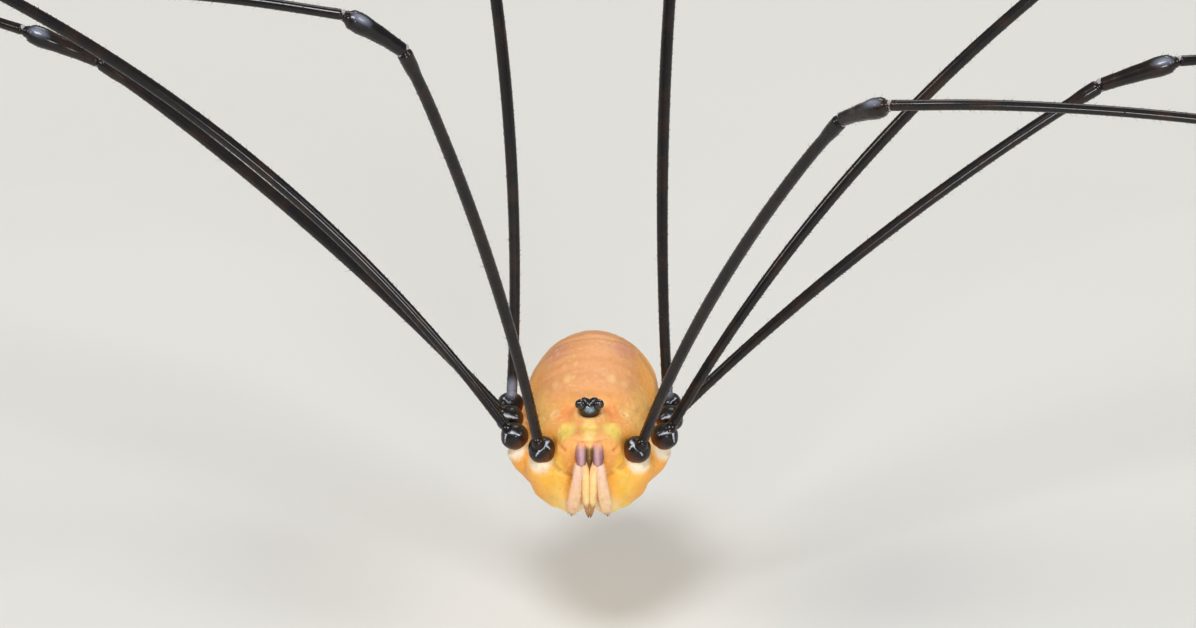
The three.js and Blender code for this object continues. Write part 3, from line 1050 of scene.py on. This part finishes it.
def finger_teeth(line, inward):
    """The small teeth along the inner edge of a finger."""
    radius_at = profile(*FINGER_RADII)
    sizes = (FINGER_TEETH["width"], FINGER_TEETH["height"])
    matrices = []
    for i in range(FINGER_TEETH["count"]):
        share = FINGER_TEETH["start"] + FINGER_TEETH["span"] * i / (FINGER_TEETH["count"] - 1)
        point, along, _, _ = line.at(share)
        matrices.append(standing(point + inward * radius_at(share) * 0.6, inward, along, *sizes))
    return matrices


def chelicera_form(side, dice):
    root, _ = article(CHELICERA_ROOT, side, 30, 28, ROOT)
    hand, hand_line = article(CHELICERA_HAND, side, 30, 28, HAND)
    fixed, fixed_line = article(FIXED_FINGER, side, 14, 12, FINGER)
    free, free_line = article(FREE_FINGER, side, 14, 12, FINGER)
    teeth = finger_teeth(fixed_line, ACROSS * side) + finger_teeth(free_line, ACROSS * -side)
    hairs = hairs_on(hand_line, profile(*CHELICERA_HAND["radii"]), 46, 0.08, dice)
    return joined([
        root, hand, fixed, free,
        planted(thorn(5, 0.2), teeth, FINGER),
        planted(thorn(3, 0.35, cuts=1), hairs, CHELICERA_HAIR),
    ])


def pedipalp_form(side, dice):
    articles = []
    hairs = []
    for parts, count in ((PALP_FEMUR, 40), (PALP_PATELLA, 40), (PALP_TIBIA, 80), (PALP_TARSUS, 130)):
        made, line = article(parts, side, 26, 20, PALP)
        articles.append(made)
        hairs += hairs_on(line, profile(*parts["radii"]), count, 0.06, dice)
    tip = on_body(PALP_TARSUS["line"][-1], side)
    hook = [tip, tip + Vector((0.005 * side, -0.012, -0.05)), tip + Vector((0.0, 0.035, -0.08))]
    claw = tube(Line(hook, 10, up=ACROSS), profile((0, 0.026), (1, 0.004)), 10, 10)
    return joined([
        fused(articles, 0.018, 10),
        planted(thorn(3, 0.35, cuts=1), hairs, PALP_HAIR),
        painted(claw, PALP_CLAW),
    ])


def soft_surface(finish, colour, fine, roughness, glow, reach, coat):
    """The surface of thin, finely grained cuticle that light goes a little way into."""
    return finish.surface(
        base_color=colour,
        roughness=roughness + 0.15 * fine,
        normal=finish.bump(fine, 0.008, 0.6),
        subsurface_weight=glow,
        subsurface_radius=reach,
        subsurface_scale=0.1 * MM,
        coat_weight=coat,
        coat_roughness=0.25,
    )


def root_finish(settings):
    finish = Finish("harvestman_chelicera_root")
    place = finish.place()
    x, _, z = finish.split(place)
    side = finish.absolute(x)
    fine = finish.grain(place, 26.0)
    wavy = side + 0.05 * (finish.grain(place, 7.0) - 0.5)
    # outer is painted shade in the grooves along the roots' outer sides, inner is painted shade in the gap
    # between the two roots, and middle is a painted highlight, a pale lilac streak down each root
    outer = finish.step(0.26, 0.34, wavy)
    inner = finish.step(0.14, 0.07, wavy)
    middle = finish.step(0.08, 0.02, finish.absolute(wavy - 0.19))
    streaks = finish.step(0.4, 0.6, finish.grain(finish.stretched(place, (1, 0.2, 0.2)), 12.0))
    rim = finish.mix(streaks, tint("f2b27c"), tint("e0a08a"))
    colour = finish.coats(
        settings.mauve,
        (middle * 0.6, "cfa5ab"),
        (outer * 0.85 * finish.step(0.3, 0.1, z), "8a4436"),
        (inner * 0.9, "6b5228"),
        (finish.step(0.26, 0.42, z), rim),
        (finish.step(0.0, -0.14, z) * 0.7, "c2935f"),
        (finish.step(0.5, 0.8, fine) * 0.25, "a86f78"),
    )
    return soft_surface(finish, colour, fine, 0.4, 0.25, (1.0, 0.5, 0.4), 0.2)


def hand_finish(settings):
    finish = Finish("harvestman_chelicera_hand")
    place = finish.place()
    x, _, z = finish.split(place)
    fine = finish.grain(place, 26.0)
    # Painted shade along the seam where the two hands meet
    seam_shade = finish.step(0.04, 0.0, finish.absolute(x))
    tip = finish.step(-0.98, -1.16, z)
    colour = finish.coats(
        settings.hand,
        (finish.step(0.3, 0.7, finish.grain(place, 5.0)), "ffe0a2"),
        (finish.step(-0.3, 0.0, z) * 0.6, "e6a874"),
        (tip * 0.7, "c98f45"),
        (seam_shade * 0.2, "d99a50"),
    )
    return soft_surface(finish, colour, fine, 0.38, 0.25, (1.0, 0.5, 0.25), 0.2)


def palp_finish(settings):
    finish = Finish("harvestman_palp")
    place = finish.place()
    _, _, z = finish.split(place)
    fine = finish.grain(place, 24.0)
    tip = finish.step(-1.2, -1.42, z + 0.08 * (fine - 0.5))
    colour = finish.coats(
        settings.palp,
        (finish.step(0.35, 0.7, finish.grain(place, 4.0)), "f8d3a2"),
        (finish.step(-0.7, -0.2, z) * 0.7, "f5c9b4"),
        (finish.step(0.55, 0.8, fine) * 0.2, "e0ab86"),
        (tip * 0.8, "8d6a35"),
    )
    return soft_surface(finish, colour, fine, 0.42, 0.3, (1.0, 0.6, 0.45), 0.0)


def claw_finish(settings):
    finish = Finish("harvestman_claw")
    place = finish.place()
    _, _, z = finish.split(place)
    fine = finish.grain(place, 30.0, 2.0)
    return finish.surface(
        base_color=finish.mix(finish.step(-1.3, -1.5, z + 0.1 * (fine - 0.5)), settings.claw, tint("6b4420")),
        roughness=0.2 + 0.15 * fine,
        coat_weight=0.4,
        coat_roughness=0.15,
    )


def hair_finish(name, dark, light):
    finish = Finish(name)
    share = finish.grain(finish.place(), 12.0, 2.0)
    return finish.surface(base_color=finish.mix(share, dark, light), roughness=0.35 + 0.2 * share)


class HARVESTMAN_OT_chelicerae(bpy.types.Operator):
    """Make the two chelicerae with their pincers"""

    bl_idname = "harvestman.chelicerae"
    bl_label = "Chelicerae"

    def execute(self, context):
        settings = context.scene.harvestman_mouth
        materials = [
            root_finish(settings),
            hand_finish(settings),
            claw_finish(settings),
            hair_finish("harvestman_mouth_hair", tint("b9803f"), tint("f0cf9b")),
        ]
        for number, (name, side) in enumerate(SIDES.items()):
            shape = chelicera_form(side, random.Random(11 + number))
            deliver(shape, f"pincers_{name}", materials, [f"chelicera_{name}"])
        return {"FINISHED"}


class HARVESTMAN_OT_pedipalps(bpy.types.Operator):
    """Make the two pedipalps"""

    bl_idname = "harvestman.pedipalps"
    bl_label = "Pedipalps"

    def execute(self, context):
        settings = context.scene.harvestman_mouth
        materials = [
            palp_finish(settings),
            claw_finish(settings),
            hair_finish("harvestman_palp_hair", tint("c39a6c"), tint("f8e4c6")),
        ]
        for number, (name, side) in enumerate(SIDES.items()):
            shape = pedipalp_form(side, random.Random(21 + number))
            deliver(shape, f"palp_{name}", materials, [f"pedipalp_{name}"])
        return {"FINISHED"}


# The legs


class LegSettings(bpy.types.PropertyGroup):
    black: bpy.props.FloatVectorProperty(
        name="Legs",
        description="Black of the legs",
        subtype="COLOR",
        default=tint("070608"),
    )
    brown: bpy.props.FloatVectorProperty(
        name="Worn brown",
        description="Brown that shows along the legs",
        subtype="COLOR",
        default=tint("2a1709"),
    )
    globe: bpy.props.FloatVectorProperty(
        name="Trochanters",
        description="Dark brown of the trochanters",
        subtype="COLOR",
        default=tint("120a06"),
    )
    # The slits' pale colour is partly joint skin and partly a painted highlight
    slit_and_glint: bpy.props.FloatVectorProperty(
        name="Slits",
        description="Pale skin in the slits of the trochanters",
        subtype="COLOR",
        default=tint("cdd2dc"),
    )
    membrane: bpy.props.FloatVectorProperty(
        name="Joint skin",
        description="Grey skin at the roots of the leg pieces",
        subtype="COLOR",
        default=tint("b9b1b5"),
    )
    tooth: bpy.props.FloatProperty(
        name="Tooth height",
        description="Height of the teeth along the legs, in millimetres",
        default=0.036,
    )
    hair: bpy.props.FloatProperty(
        name="Hair length",
        description="Length of the hairs on the legs, in millimetres",
        default=0.13,
    )


SOLID_LEG = {"radius": 0.25, "sides": 8}  # of the leg pieces in the solids
FOOT_RADIUS = 0.052
FOOT_HEIGHT = 0.075  # how high over the floor the middle of a foot's thicker root lies
FRONT = Vector((0, -0.891, 0.454))  # the way that the trochanters' pale slits face, partly joint skin and partly painted highlight
# The radius of each leg piece in its middle, and at distances from its root and from its tip.
LEG_FORMS = {
    "femur": {
        "root": [(0, 0.11), (0.3, 0.135), (1.2, 0.132)],
        "middle": 0.152,
        "tip": [(0.9, 0.15), (0.4, 0.185), (0.12, 0.19), (0, 0.13)],
    },
    "patella": {
        "root": [(0, 0.13), (0.07, 0.175), (0.4, 0.185)],
        "middle": 0.22,
        "tip": [(0.48, 0.262), (0.27, 0.245), (0.1, 0.15), (0, 0.11)],
    },
    "tibia": {
        "root": [(0, 0.1), (0.05, 0.135), (0.6, 0.13)],
        "middle": 0.122,
        "tip": [(0.6, 0.126), (0.2, 0.15), (0.06, 0.145), (0, 0.08)],
    },
    "metatarsus": {
        "root": [(0, 0.07), (0.05, 0.105), (0.6, 0.097)],
        "middle": 0.086,
        "tip": [(0.4, 0.08), (0.04, 0.08), (0, 0.05)],
    },
    "tarsus": {
        "root": [(0, 0.045), (0.05, 0.072), (0.8, 0.065)],
        "middle": FOOT_RADIUS,
        "tip": [(1.0, FOOT_RADIUS * 0.9), (0.05, FOOT_RADIUS * 0.7), (0, 0.015)],
    },
}
LIGHT = Vector((0, -0.6, 0.8))  # the side of a leg that the lamps light, where the painted sheen goes
# Middles of the painted sheen, a highlight painted on leg pieces, from the root or back from the tip, with
# half length and width
PAINTED_SHEENS = {("femur", 4): (0.55, 0.34, 0.24)} | {("patella", pair): (-0.4, 0.34, 0.14) for pair in PAIRS}
TARSOMERE = 0.42  # length of one of the many short pieces of the foot
LEG_STEPS = 160  # along the line of each piece
LEG_SIDES, FOOT_SIDES = 18, 10
LOWERED_FROM = 2.2  # the height from which a leg gradually comes down to the thin foot's level
LAST_SHARE = 0.98  # how far along a piece its rows of teeth and hairs go
BARE_ROOT = {"femur": 0.4}  # how far from its root a piece is bare, in millimetres
LEAST_BARE_ROOT = 0.06
TOOTH = {"width": 0.014, "lean": 0.9}
LEG_HAIR = {"width": 0.0042, "lean": 0.8, "on_foot": 0.7}  # on_foot is the share of the length there
LEAST_HAIR_HEIGHT = 0.01  # the tips of hairs end at least this far over the floor
# The places of the materials in the list of a leg piece
COAT, JOINT_SKIN, HAIR = range(3)
# Rows round each leg piece and the spacing along them in millimetres
TEETH = {"femur": (9, 0.17), "patella": (10, 0.13), "tibia": (6, 0.3)}
HAIRS = {
    "femur": (4, 0.5),
    "patella": (5, 0.3),
    "tibia": (6, 0.3),
    "metatarsus": (6, 0.28),
    "tarsus": (5, 0.22),
}


def ring_middles(node):
    """The middles of the rings of a CAD leg piece, from one end to the other."""
    shape = copy_of(node)
    ends = [v for v in shape.verts if len(v.link_edges) == SOLID_LEG["sides"]]
    front = {ends[0]}
    seen = set(front)
    middles = []
    while front:
        middles.append(sum((v.co for v in front), Vector()) / len(front))
        front = {e.other_vert(v) for v in front for e in v.link_edges} - seen
        seen |= front
    shape.free()
    return middles


def leg_lines(pair, side):
    """The centre line of each leg piece, from joint to joint."""
    start = seat(pair, side)
    rows = []
    for segment in SEGMENTS:
        middles = ring_middles(f"leg_{pair}_{side}_{segment}")
        if (middles[0] - start).length > (middles[-1] - start).length:
            middles.reverse()
        rows.append(middles)
        start = middles[-1]
    joints = [seat(pair, side)]
    joints += [(rows[i][-1] + rows[i + 1][0]) / 2 for i in range(len(rows) - 1)]
    joints.append(rows[-1][-1])
    lines = {}
    for i, segment in enumerate(SEGMENTS):
        inner = rows[i][2:-2] if len(rows[i]) > 5 else rows[i][1:-1][1:-1]
        points = [joints[i], *inner, joints[i + 1]]
        lines[segment] = Line([lowered(p) for p in points], LEG_STEPS)
        heights = lines[segment].places[:, 2]
        heights[:] = np.maximum(heights, FOOT_HEIGHT)
    return lines


def lowered(point):
    """Lays the thin foot on the floor, where the thicker CAD foot rests higher."""
    rest = SOLID_LEG["radius"] * math.cos(math.pi / SOLID_LEG["sides"])
    drop = (rest - FOOT_HEIGHT) * float(ease(LOWERED_FROM, rest + 0.1, point.z))
    return point - Vector((0, 0, drop))


def rows_on(line, radius_at, rows, spacing, height, width, lean, dice, start):
    """Where teeth or hairs stand in rows along a leg piece."""
    matrices = []
    span = LAST_SHARE - start
    count = max(2, int(line.length * span / spacing))
    for row in range(rows):
        for i in range(count):
            share = start + span * (i + dice.random()) / count
            angle = 2 * math.pi * (row + 0.5 + 0.35 * (dice.random() - 0.5)) / rows
            point, along, across, over = line.at(share)
            out = across * math.cos(angle) + over * math.sin(angle)
            root = point + out * radius_at(share) * 0.93
            tall = height * (0.65 + 0.7 * dice.random())
            matrices.append(standing(root, out + along * lean, along, width, tall))
    return matrices


def leg_radius_at(segment, length):
    form = LEG_FORMS[segment]
    root = [(distance / length, radius) for distance, radius in form["root"]]
    tip = [(1 - distance / length, radius) for distance, radius in form["tip"]]
    return profile(*root, (0.5, form["middle"]), *tip)


def foot_radius_at(line):
    """The foot's radius, pinched where its short pieces meet."""
    plain = leg_radius_at("tarsus", line.length)
    count = round(line.length / TARSOMERE)

    def radius_at(share):
        phase = (share * count) % 1.0
        pinch = 0.14 * math.exp(-((min(phase, 1 - phase) / 0.12) ** 2))
        return plain(share) * (1 - pinch)

    return radius_at, count


def foot_claw(line):
    """The single hooked claw at the tip of a foot."""
    point, along, _, _ = line.at(1.0)
    down = Vector((0, 0, -1))
    places = [point - along * 0.14, point - along * 0.04, point + along * 0.01 + down * 0.03]
    return tube(Line(places, 10), profile((0, 0.022), (1, 0.004)), 8, 10)


def joint_skin(segment, line):
    """The pale skin that shows above and below the joint at a piece's root."""
    point, along, _, over = line.at(0)
    radius = LEG_FORMS[segment]["root"][1][1]
    cushions = []
    for way in (-1, 1):
        place = point + over * way * radius * 0.5 + along * radius * 0.1
        cushions.append(ball(place, (radius * 0.56,) * 3, across=14, rings=10))
    return joined(cushions)


def sheen_shares(shape, line, segment, pair):
    """1 on the painted sheen, a pale highlight that a piece may carry on its upper front, and 0 elsewhere."""
    if (segment, pair) not in PAINTED_SHEENS:
        return np.zeros(len(shape.verts))
    distance, length, width = PAINTED_SHEENS[segment, pair]
    point, along, _, _ = line.at((distance / line.length) % 1.0)
    side = (LIGHT - along * LIGHT.dot(along)).normalized()
    offset = vertex_places(shape) - np.array(point + side * 0.2)
    lengthwise = offset @ np.array(along)
    crosswise = np.linalg.norm(offset - lengthwise[:, None] * np.array(along), axis=1)
    return ease(1.1, 0.1, np.hypot(lengthwise / length, crosswise / width))


def femur_knob(line):
    """The thick rounded root of a femur, where it comes out of the trochanter's front."""
    point, along, _, _ = line.at(0.2 / line.length)
    turn = along.to_track_quat("Z", "Y").to_matrix().to_4x4()
    return ball(point + FRONT * 0.1, (0.18, 0.18, 0.25), turn, across=28, rings=18)


def leg_piece(segment, line, settings, dice):
    """One piece of a leg, with its teeth and hairs and the pale skin at its root."""
    shapes = []
    if segment == "tarsus":
        radius_at, count = foot_radius_at(line)
        shapes.append(tube(line, radius_at, FOOT_SIDES, count * 5))
        shapes.append(foot_claw(line))
    else:
        radius_at = leg_radius_at(segment, line.length)
        shapes.append(tube(line, radius_at, LEG_SIDES, int(line.length / 0.14) + 24))
    if segment == "femur":
        shapes.append(femur_knob(line))
    else:
        shapes.append(painted(joint_skin(segment, line), JOINT_SKIN))
    start = BARE_ROOT.get(segment, LEAST_BARE_ROOT) / line.length
    if segment in TEETH:
        tooth = (settings.tooth, TOOTH["width"], TOOTH["lean"])
        teeth = rows_on(line, radius_at, *TEETH[segment], *tooth, dice, start)
        shapes.append(planted(thorn(4, 0.25), teeth, COAT))
    height = settings.hair * (LEG_HAIR["on_foot"] if segment == "tarsus" else 1)
    hair = (height, LEG_HAIR["width"], LEG_HAIR["lean"])
    hairs = rows_on(line, radius_at, *HAIRS[segment], *hair, dice, start)
    hairs = [m for m in hairs if (m @ Vector((0, 0, 1))).z > LEAST_HAIR_HEIGHT]
    shapes.append(planted(thorn(3, 0.4, cuts=1), hairs, HAIR))
    return joined(shapes)


# On each pair's trochanters the pale slits run between these places, seen from the front: away from the body
# and upwards, as shares of the radius, with the width at the start. They are partly joint skin and partly a
# painted highlight; the band on the third pair is a painted highlight.
SLITS = {
    1: [((-0.38, 0.6), (0.36, -0.4), 0.16), ((-0.3, 0.33), (-0.56, 0.05), 0.1)],
    2: [((0.5, 0.75), (0.7, -0.35), 0.15), ((0.3, 0.36), (-0.35, 0.1), 0.17)],
    3: [((0.6, 0.35), (-0.5, 0.05), 0.22)],
    4: [((0.5, 0.6), (0.1, 0.2), 0.08)],
}


def slit_distance(here, start, stop, width):
    """The distance from a slit's middle line, as a share of the slit's width there."""
    start, stop = Vector(start), Vector(stop)
    along = stop - start
    share = min(max((here - start).dot(along) / along.length_squared, 0), 1)
    return (here - start - along * share).length / (width * (1 - 0.65 * share))


def trochanter_form(pair, side):
    """A glossy globe with pale slits, which are partly joint skin and partly painted highlight, and the
    shares of those slits and of warm brown on it.
    """
    axis, end = coxa_axis(pair, side)
    made = bmesh.new()
    bmesh.ops.create_icosphere(made, subdivisions=6, radius=1)
    way = SIDES[side]
    shifted = end + Vector((-0.04 * way if pair == 1 else 0, 0, 0.03))
    right = Vector((way, 0, 0))
    up = FRONT.cross(right) * way
    slit_and_glint = np.zeros(len(made.verts))
    warm = np.zeros(len(made.verts))
    for i, vert in enumerate(made.verts):
        unit = vert.co.copy()
        if unit.dot(FRONT) > 0.1:
            here = Vector((unit.dot(right), unit.dot(up)))
            here += 0.06 * Vector((noise.noise(unit * 6), noise.noise(unit * 6 + Vector((9, 0, 0)))))
            near = min(slit_distance(here, *row) for row in SLITS[pair])
            slit_and_glint[i] = float(ease(1.15, 0.2, near))
        swell = 1 - 0.06 * slit_and_glint[i] + 0.02 * noise.noise(unit * 2.3)
        stretch = 1 + 0.06 * abs(unit.dot(axis))
        warm[i] = float(ease(-0.15, 0.7, -0.75 * unit.z - 0.65 * way * unit.x))
        square = Vector([math.copysign(abs(c) ** 0.88, c) for c in unit])
        if square.z < 0:
            square.z *= 0.9
        vert.co = shifted + square * TROCHANTER_RADIUS * swell * stretch
    return made, {"slit_and_glint": slit_and_glint, "warm": warm}


def leg_finish(settings):
    finish = Finish("harvestman_leg")
    place = finish.place()
    fine = finish.grain(place, 22.0, 4.0, 0.6)
    broad = finish.grain(place, 1.6)
    scales = finish.step(0.55, 0.12, finish.cells(place, 17.0))
    brown = finish.step(0.42, 0.72, broad) * 0.75 + 0.12 * fine
    # Painted highlight: a pale blue sheen on the lit upper front of the fourth femora and near the tips of
    # the patellae
    painted_sheen = finish.attribute("painted_sheen") * (0.45 + 0.4 * fine)
    colour = finish.mix(brown, settings.black, settings.brown)
    return finish.surface(
        base_color=finish.mix(painted_sheen, colour, tint("bdc3d8")),
        roughness=0.4 + 0.2 * fine - 0.05 * scales,
        specular_ior_level=0.12,
        normal=finish.bump(scales * 0.6 + fine * 0.5, 0.006, 0.6),
        coat_weight=0.6,
        coat_roughness=0.13,
    )


def globe_finish(settings):
    finish = Finish("harvestman_trochanter")
    place = finish.place()
    slit_and_glint = finish.attribute("slit_and_glint")
    fine = finish.grain(place, 20.0)
    broad = finish.grain(place, 3.1, 2.0)
    warm = finish.attribute("warm")
    colour = finish.mix(finish.step(0.25, 0.5, broad) * warm, settings.globe, tint("6a3a18"))
    # The pale slits: partly joint skin, partly a painted highlight on the globe's front
    colour = finish.mix(slit_and_glint * (0.65 + 0.35 * finish.step(0.35, 0.6, fine)), colour, settings.slit_and_glint)
    return finish.surface(
        base_color=colour,
        roughness=0.34 + 0.15 * fine + 0.2 * slit_and_glint,
        specular_ior_level=0.25,
        normal=finish.bump(finish.step(0.45, 0.1, finish.cells(place, 9.0)) + 0.5 * fine, 0.012, 0.6),
        coat_weight=0.3,
        coat_roughness=0.12,
    )


def membrane_finish(settings):
    finish = Finish("harvestman_joint_skin")
    place = finish.place()
    fine = finish.grain(place, 18.0)
    folds = finish.step(0.3, 0.7, finish.grain(finish.stretched(place, (1, 1, 4)), 8.0))
    return finish.surface(
        base_color=finish.mix(folds * 0.7, settings.membrane, tint("7f7570")),
        roughness=0.4 + 0.2 * fine,
        normal=finish.bump(folds, 0.012, 0.6),
        subsurface_weight=0.2,
        subsurface_radius=(1.0, 0.7, 0.6),
        subsurface_scale=0.08 * MM,
    )


class HARVESTMAN_OT_trochanters(bpy.types.Operator):
    """Make the eight globes at the roots of the legs"""

    bl_idname = "harvestman.trochanters"
    bl_label = "Trochanters"

    def execute(self, context):
        material = globe_finish(context.scene.harvestman_legs)
        for pair, side in LEGS:
            shape, shares = trochanter_form(pair, side)
            nodes = [f"trochanter_{pair}_{side}"]
            deliver(shape, f"globe_{pair}_{side}", [material], nodes, shares)
        return {"FINISHED"}


class HARVESTMAN_OT_legs(bpy.types.Operator):
    """Make the eight legs, piece by piece"""

    bl_idname = "harvestman.legs"
    bl_label = "Legs"

    def execute(self, context):
        settings = context.scene.harvestman_legs
        materials = [
            leg_finish(settings),
            membrane_finish(settings),
            hair_finish("harvestman_leg_hair", tint("0c0a0a"), tint("3a2f2b")),
        ]
        for pair, side in LEGS:
            dice = random.Random(100 * pair + SIDES[side])
            for segment, line in leg_lines(pair, side).items():
                shape = leg_piece(segment, line, settings, dice)
                shares = {"painted_sheen": sheen_shares(shape, line, segment, pair)}
                nodes = [f"leg_{pair}_{side}_{segment}"]
                deliver(shape, f"{segment}_{pair}_{side}", materials, nodes, shares)
        return {"FINISHED"}


# The stage


class StageSettings(bpy.types.PropertyGroup):
    elevation: bpy.props.FloatProperty(
        name="Camera elevation",
        description="How steeply the camera looks down",
        subtype="ANGLE",
        default=math.radians(27),
    )
    distance: bpy.props.FloatProperty(
        name="Camera distance",
        description="From the camera to the animal",
        unit="LENGTH",
        default=180 * MM,
    )
    width: bpy.props.FloatProperty(
        name="Frame width",
        description="Width of the view at the animal",
        unit="LENGTH",
        default=29.9 * MM,
    )
    floor: bpy.props.FloatVectorProperty(
        name="Floor",
        description="Pale floor",
        subtype="COLOR",
        default=tint("dddbd5"),
    )


AIM = Vector((0.21, 1.18, 2.32))  # the middle of the view, in millimetres from BODY
SENSOR = 36.0  # the camera's, in millimetres
CLIP = (0.005, 20.0)  # the nearest and furthest that the camera sees, in metres
FLOOR_HALF = 2.0  # half the floor's width, in metres
SKY = {"colour": "eef1f4", "strength": 0.24}
LAMPS = [
    # name, azimuth and elevation in degrees, distance and size in metres, power in watts, colour
    ("key", -14, 60, 0.42, 0.12, 0.9, "f4f8ff"),
    ("low", 12, 16, 0.5, 0.12, 0.6, "ffffff"),
    ("left", -75, 36, 0.5, 0.16, 0.66, "fff6ec"),
    ("right", 68, 34, 0.5, 0.16, 0.64, "f6fbff"),
    ("back", 168, 48, 0.5, 0.2, 0.55, "fffaf0"),
]


def aim_at(thing, target):
    thing.rotation_euler = (target - thing.location).to_track_quat("-Z", "Y").to_euler()


def add_lamp(name, azimuth, elevation, distance, size, power, colour):
    data = bpy.data.lights.new(f"lamp_{name}", "AREA")
    data.shape = "DISK"
    data.size = size
    data.energy = power
    data.color = tint(colour)
    lamp = placed(f"lamp_{name}", data)
    a, e = math.radians(azimuth), math.radians(elevation)
    target = (BODY + AIM) * MM
    away = Vector((math.sin(a) * math.cos(e), -math.cos(a) * math.cos(e), math.sin(e)))
    lamp.location = target + away * distance
    aim_at(lamp, target)


def add_floor(settings):
    shape = bmesh.new()
    bmesh.ops.create_grid(shape, x_segments=2, y_segments=2, size=FLOOR_HALF)
    mesh = as_mesh(shape, "floor")
    finish = Finish("harvestman_floor")
    mottle = finish.grain(finish.place((0, 0, 0)), 0.02, 2.0)
    mesh.materials.append(
        finish.surface(base_color=finish.mix(mottle * 0.1, settings.floor, tint("cfcdc6")), roughness=0.75)
    )
    placed("floor", mesh)


def add_camera(settings):
    data = bpy.data.cameras.new("camera")
    data.sensor_width = SENSOR
    data.lens = SENSOR * settings.distance / settings.width
    data.clip_start, data.clip_end = CLIP
    camera = placed("camera", data)
    e = settings.elevation
    looking = Vector((0, math.cos(e), -math.sin(e)))
    camera.location = (BODY + AIM) * MM - looking * settings.distance
    camera.rotation_euler = (math.pi / 2 - e, 0, 0)
    bpy.context.scene.camera = camera


def add_sky():
    world = bpy.data.worlds.new("studio")
    world.use_nodes = True
    sky = world.node_tree.nodes["Background"]
    sky.inputs["Color"].default_value = (*tint(SKY["colour"]), 1)
    sky.inputs["Strength"].default_value = SKY["strength"]
    bpy.context.scene.world = world
    bpy.context.scene.view_settings.view_transform = "Standard"


class HARVESTMAN_OT_stage(bpy.types.Operator):
    """Make the pale floor, the lights and the camera"""

    bl_idname = "harvestman.stage"
    bl_label = "Stage"

    def execute(self, context):
        settings = context.scene.harvestman_stage
        add_floor(settings)
        add_camera(settings)
        add_sky()
        for lamp in LAMPS:
            add_lamp(*lamp)
        return {"FINISHED"}


# The add-on


OPERATORS = (
    HARVESTMAN_OT_stage,
    HARVESTMAN_OT_skin,
    HARVESTMAN_OT_eyes,
    HARVESTMAN_OT_chelicerae,
    HARVESTMAN_OT_pedipalps,
    HARVESTMAN_OT_trochanters,
    HARVESTMAN_OT_legs,
)
SETTINGS = {
    "harvestman_skin": SkinSettings,
    "harvestman_eyes": EyeSettings,
    "harvestman_mouth": MouthSettings,
    "harvestman_legs": LegSettings,
    "harvestman_stage": StageSettings,
}


class HARVESTMAN_PT_pieces(bpy.types.Panel):
    """The pieces of the harvestman"""

    bl_label = "Harvestman"
    bl_idname = "HARVESTMAN_PT_pieces"
    bl_space_type = "VIEW_3D"
    bl_region_type = "UI"
    bl_category = "Harvestman"

    def draw(self, context):
        for operator in OPERATORS:
            self.layout.operator(operator.bl_idname)


def register():
    for name, group in SETTINGS.items():
        bpy.utils.register_class(group)
        setattr(bpy.types.Scene, name, bpy.props.PointerProperty(type=group))
    for operator in OPERATORS:
        bpy.utils.register_class(operator)
    bpy.utils.register_class(HARVESTMAN_PT_pieces)


def unregister():
    bpy.utils.unregister_class(HARVESTMAN_PT_pieces)
    for operator in reversed(OPERATORS):
        bpy.utils.unregister_class(operator)
    for name, group in reversed(SETTINGS.items()):
        delattr(bpy.types.Scene, name)
        bpy.utils.unregister_class(group)


def main():
    register()
    bpy.ops.harvestman.stage()
    bpy.ops.harvestman.skin()
    bpy.ops.harvestman.eyes()
    bpy.ops.harvestman.chelicerae()
    bpy.ops.harvestman.pedipalps()
    bpy.ops.harvestman.trochanters()
    bpy.ops.harvestman.legs()


if __name__ == "__main__":
    main()
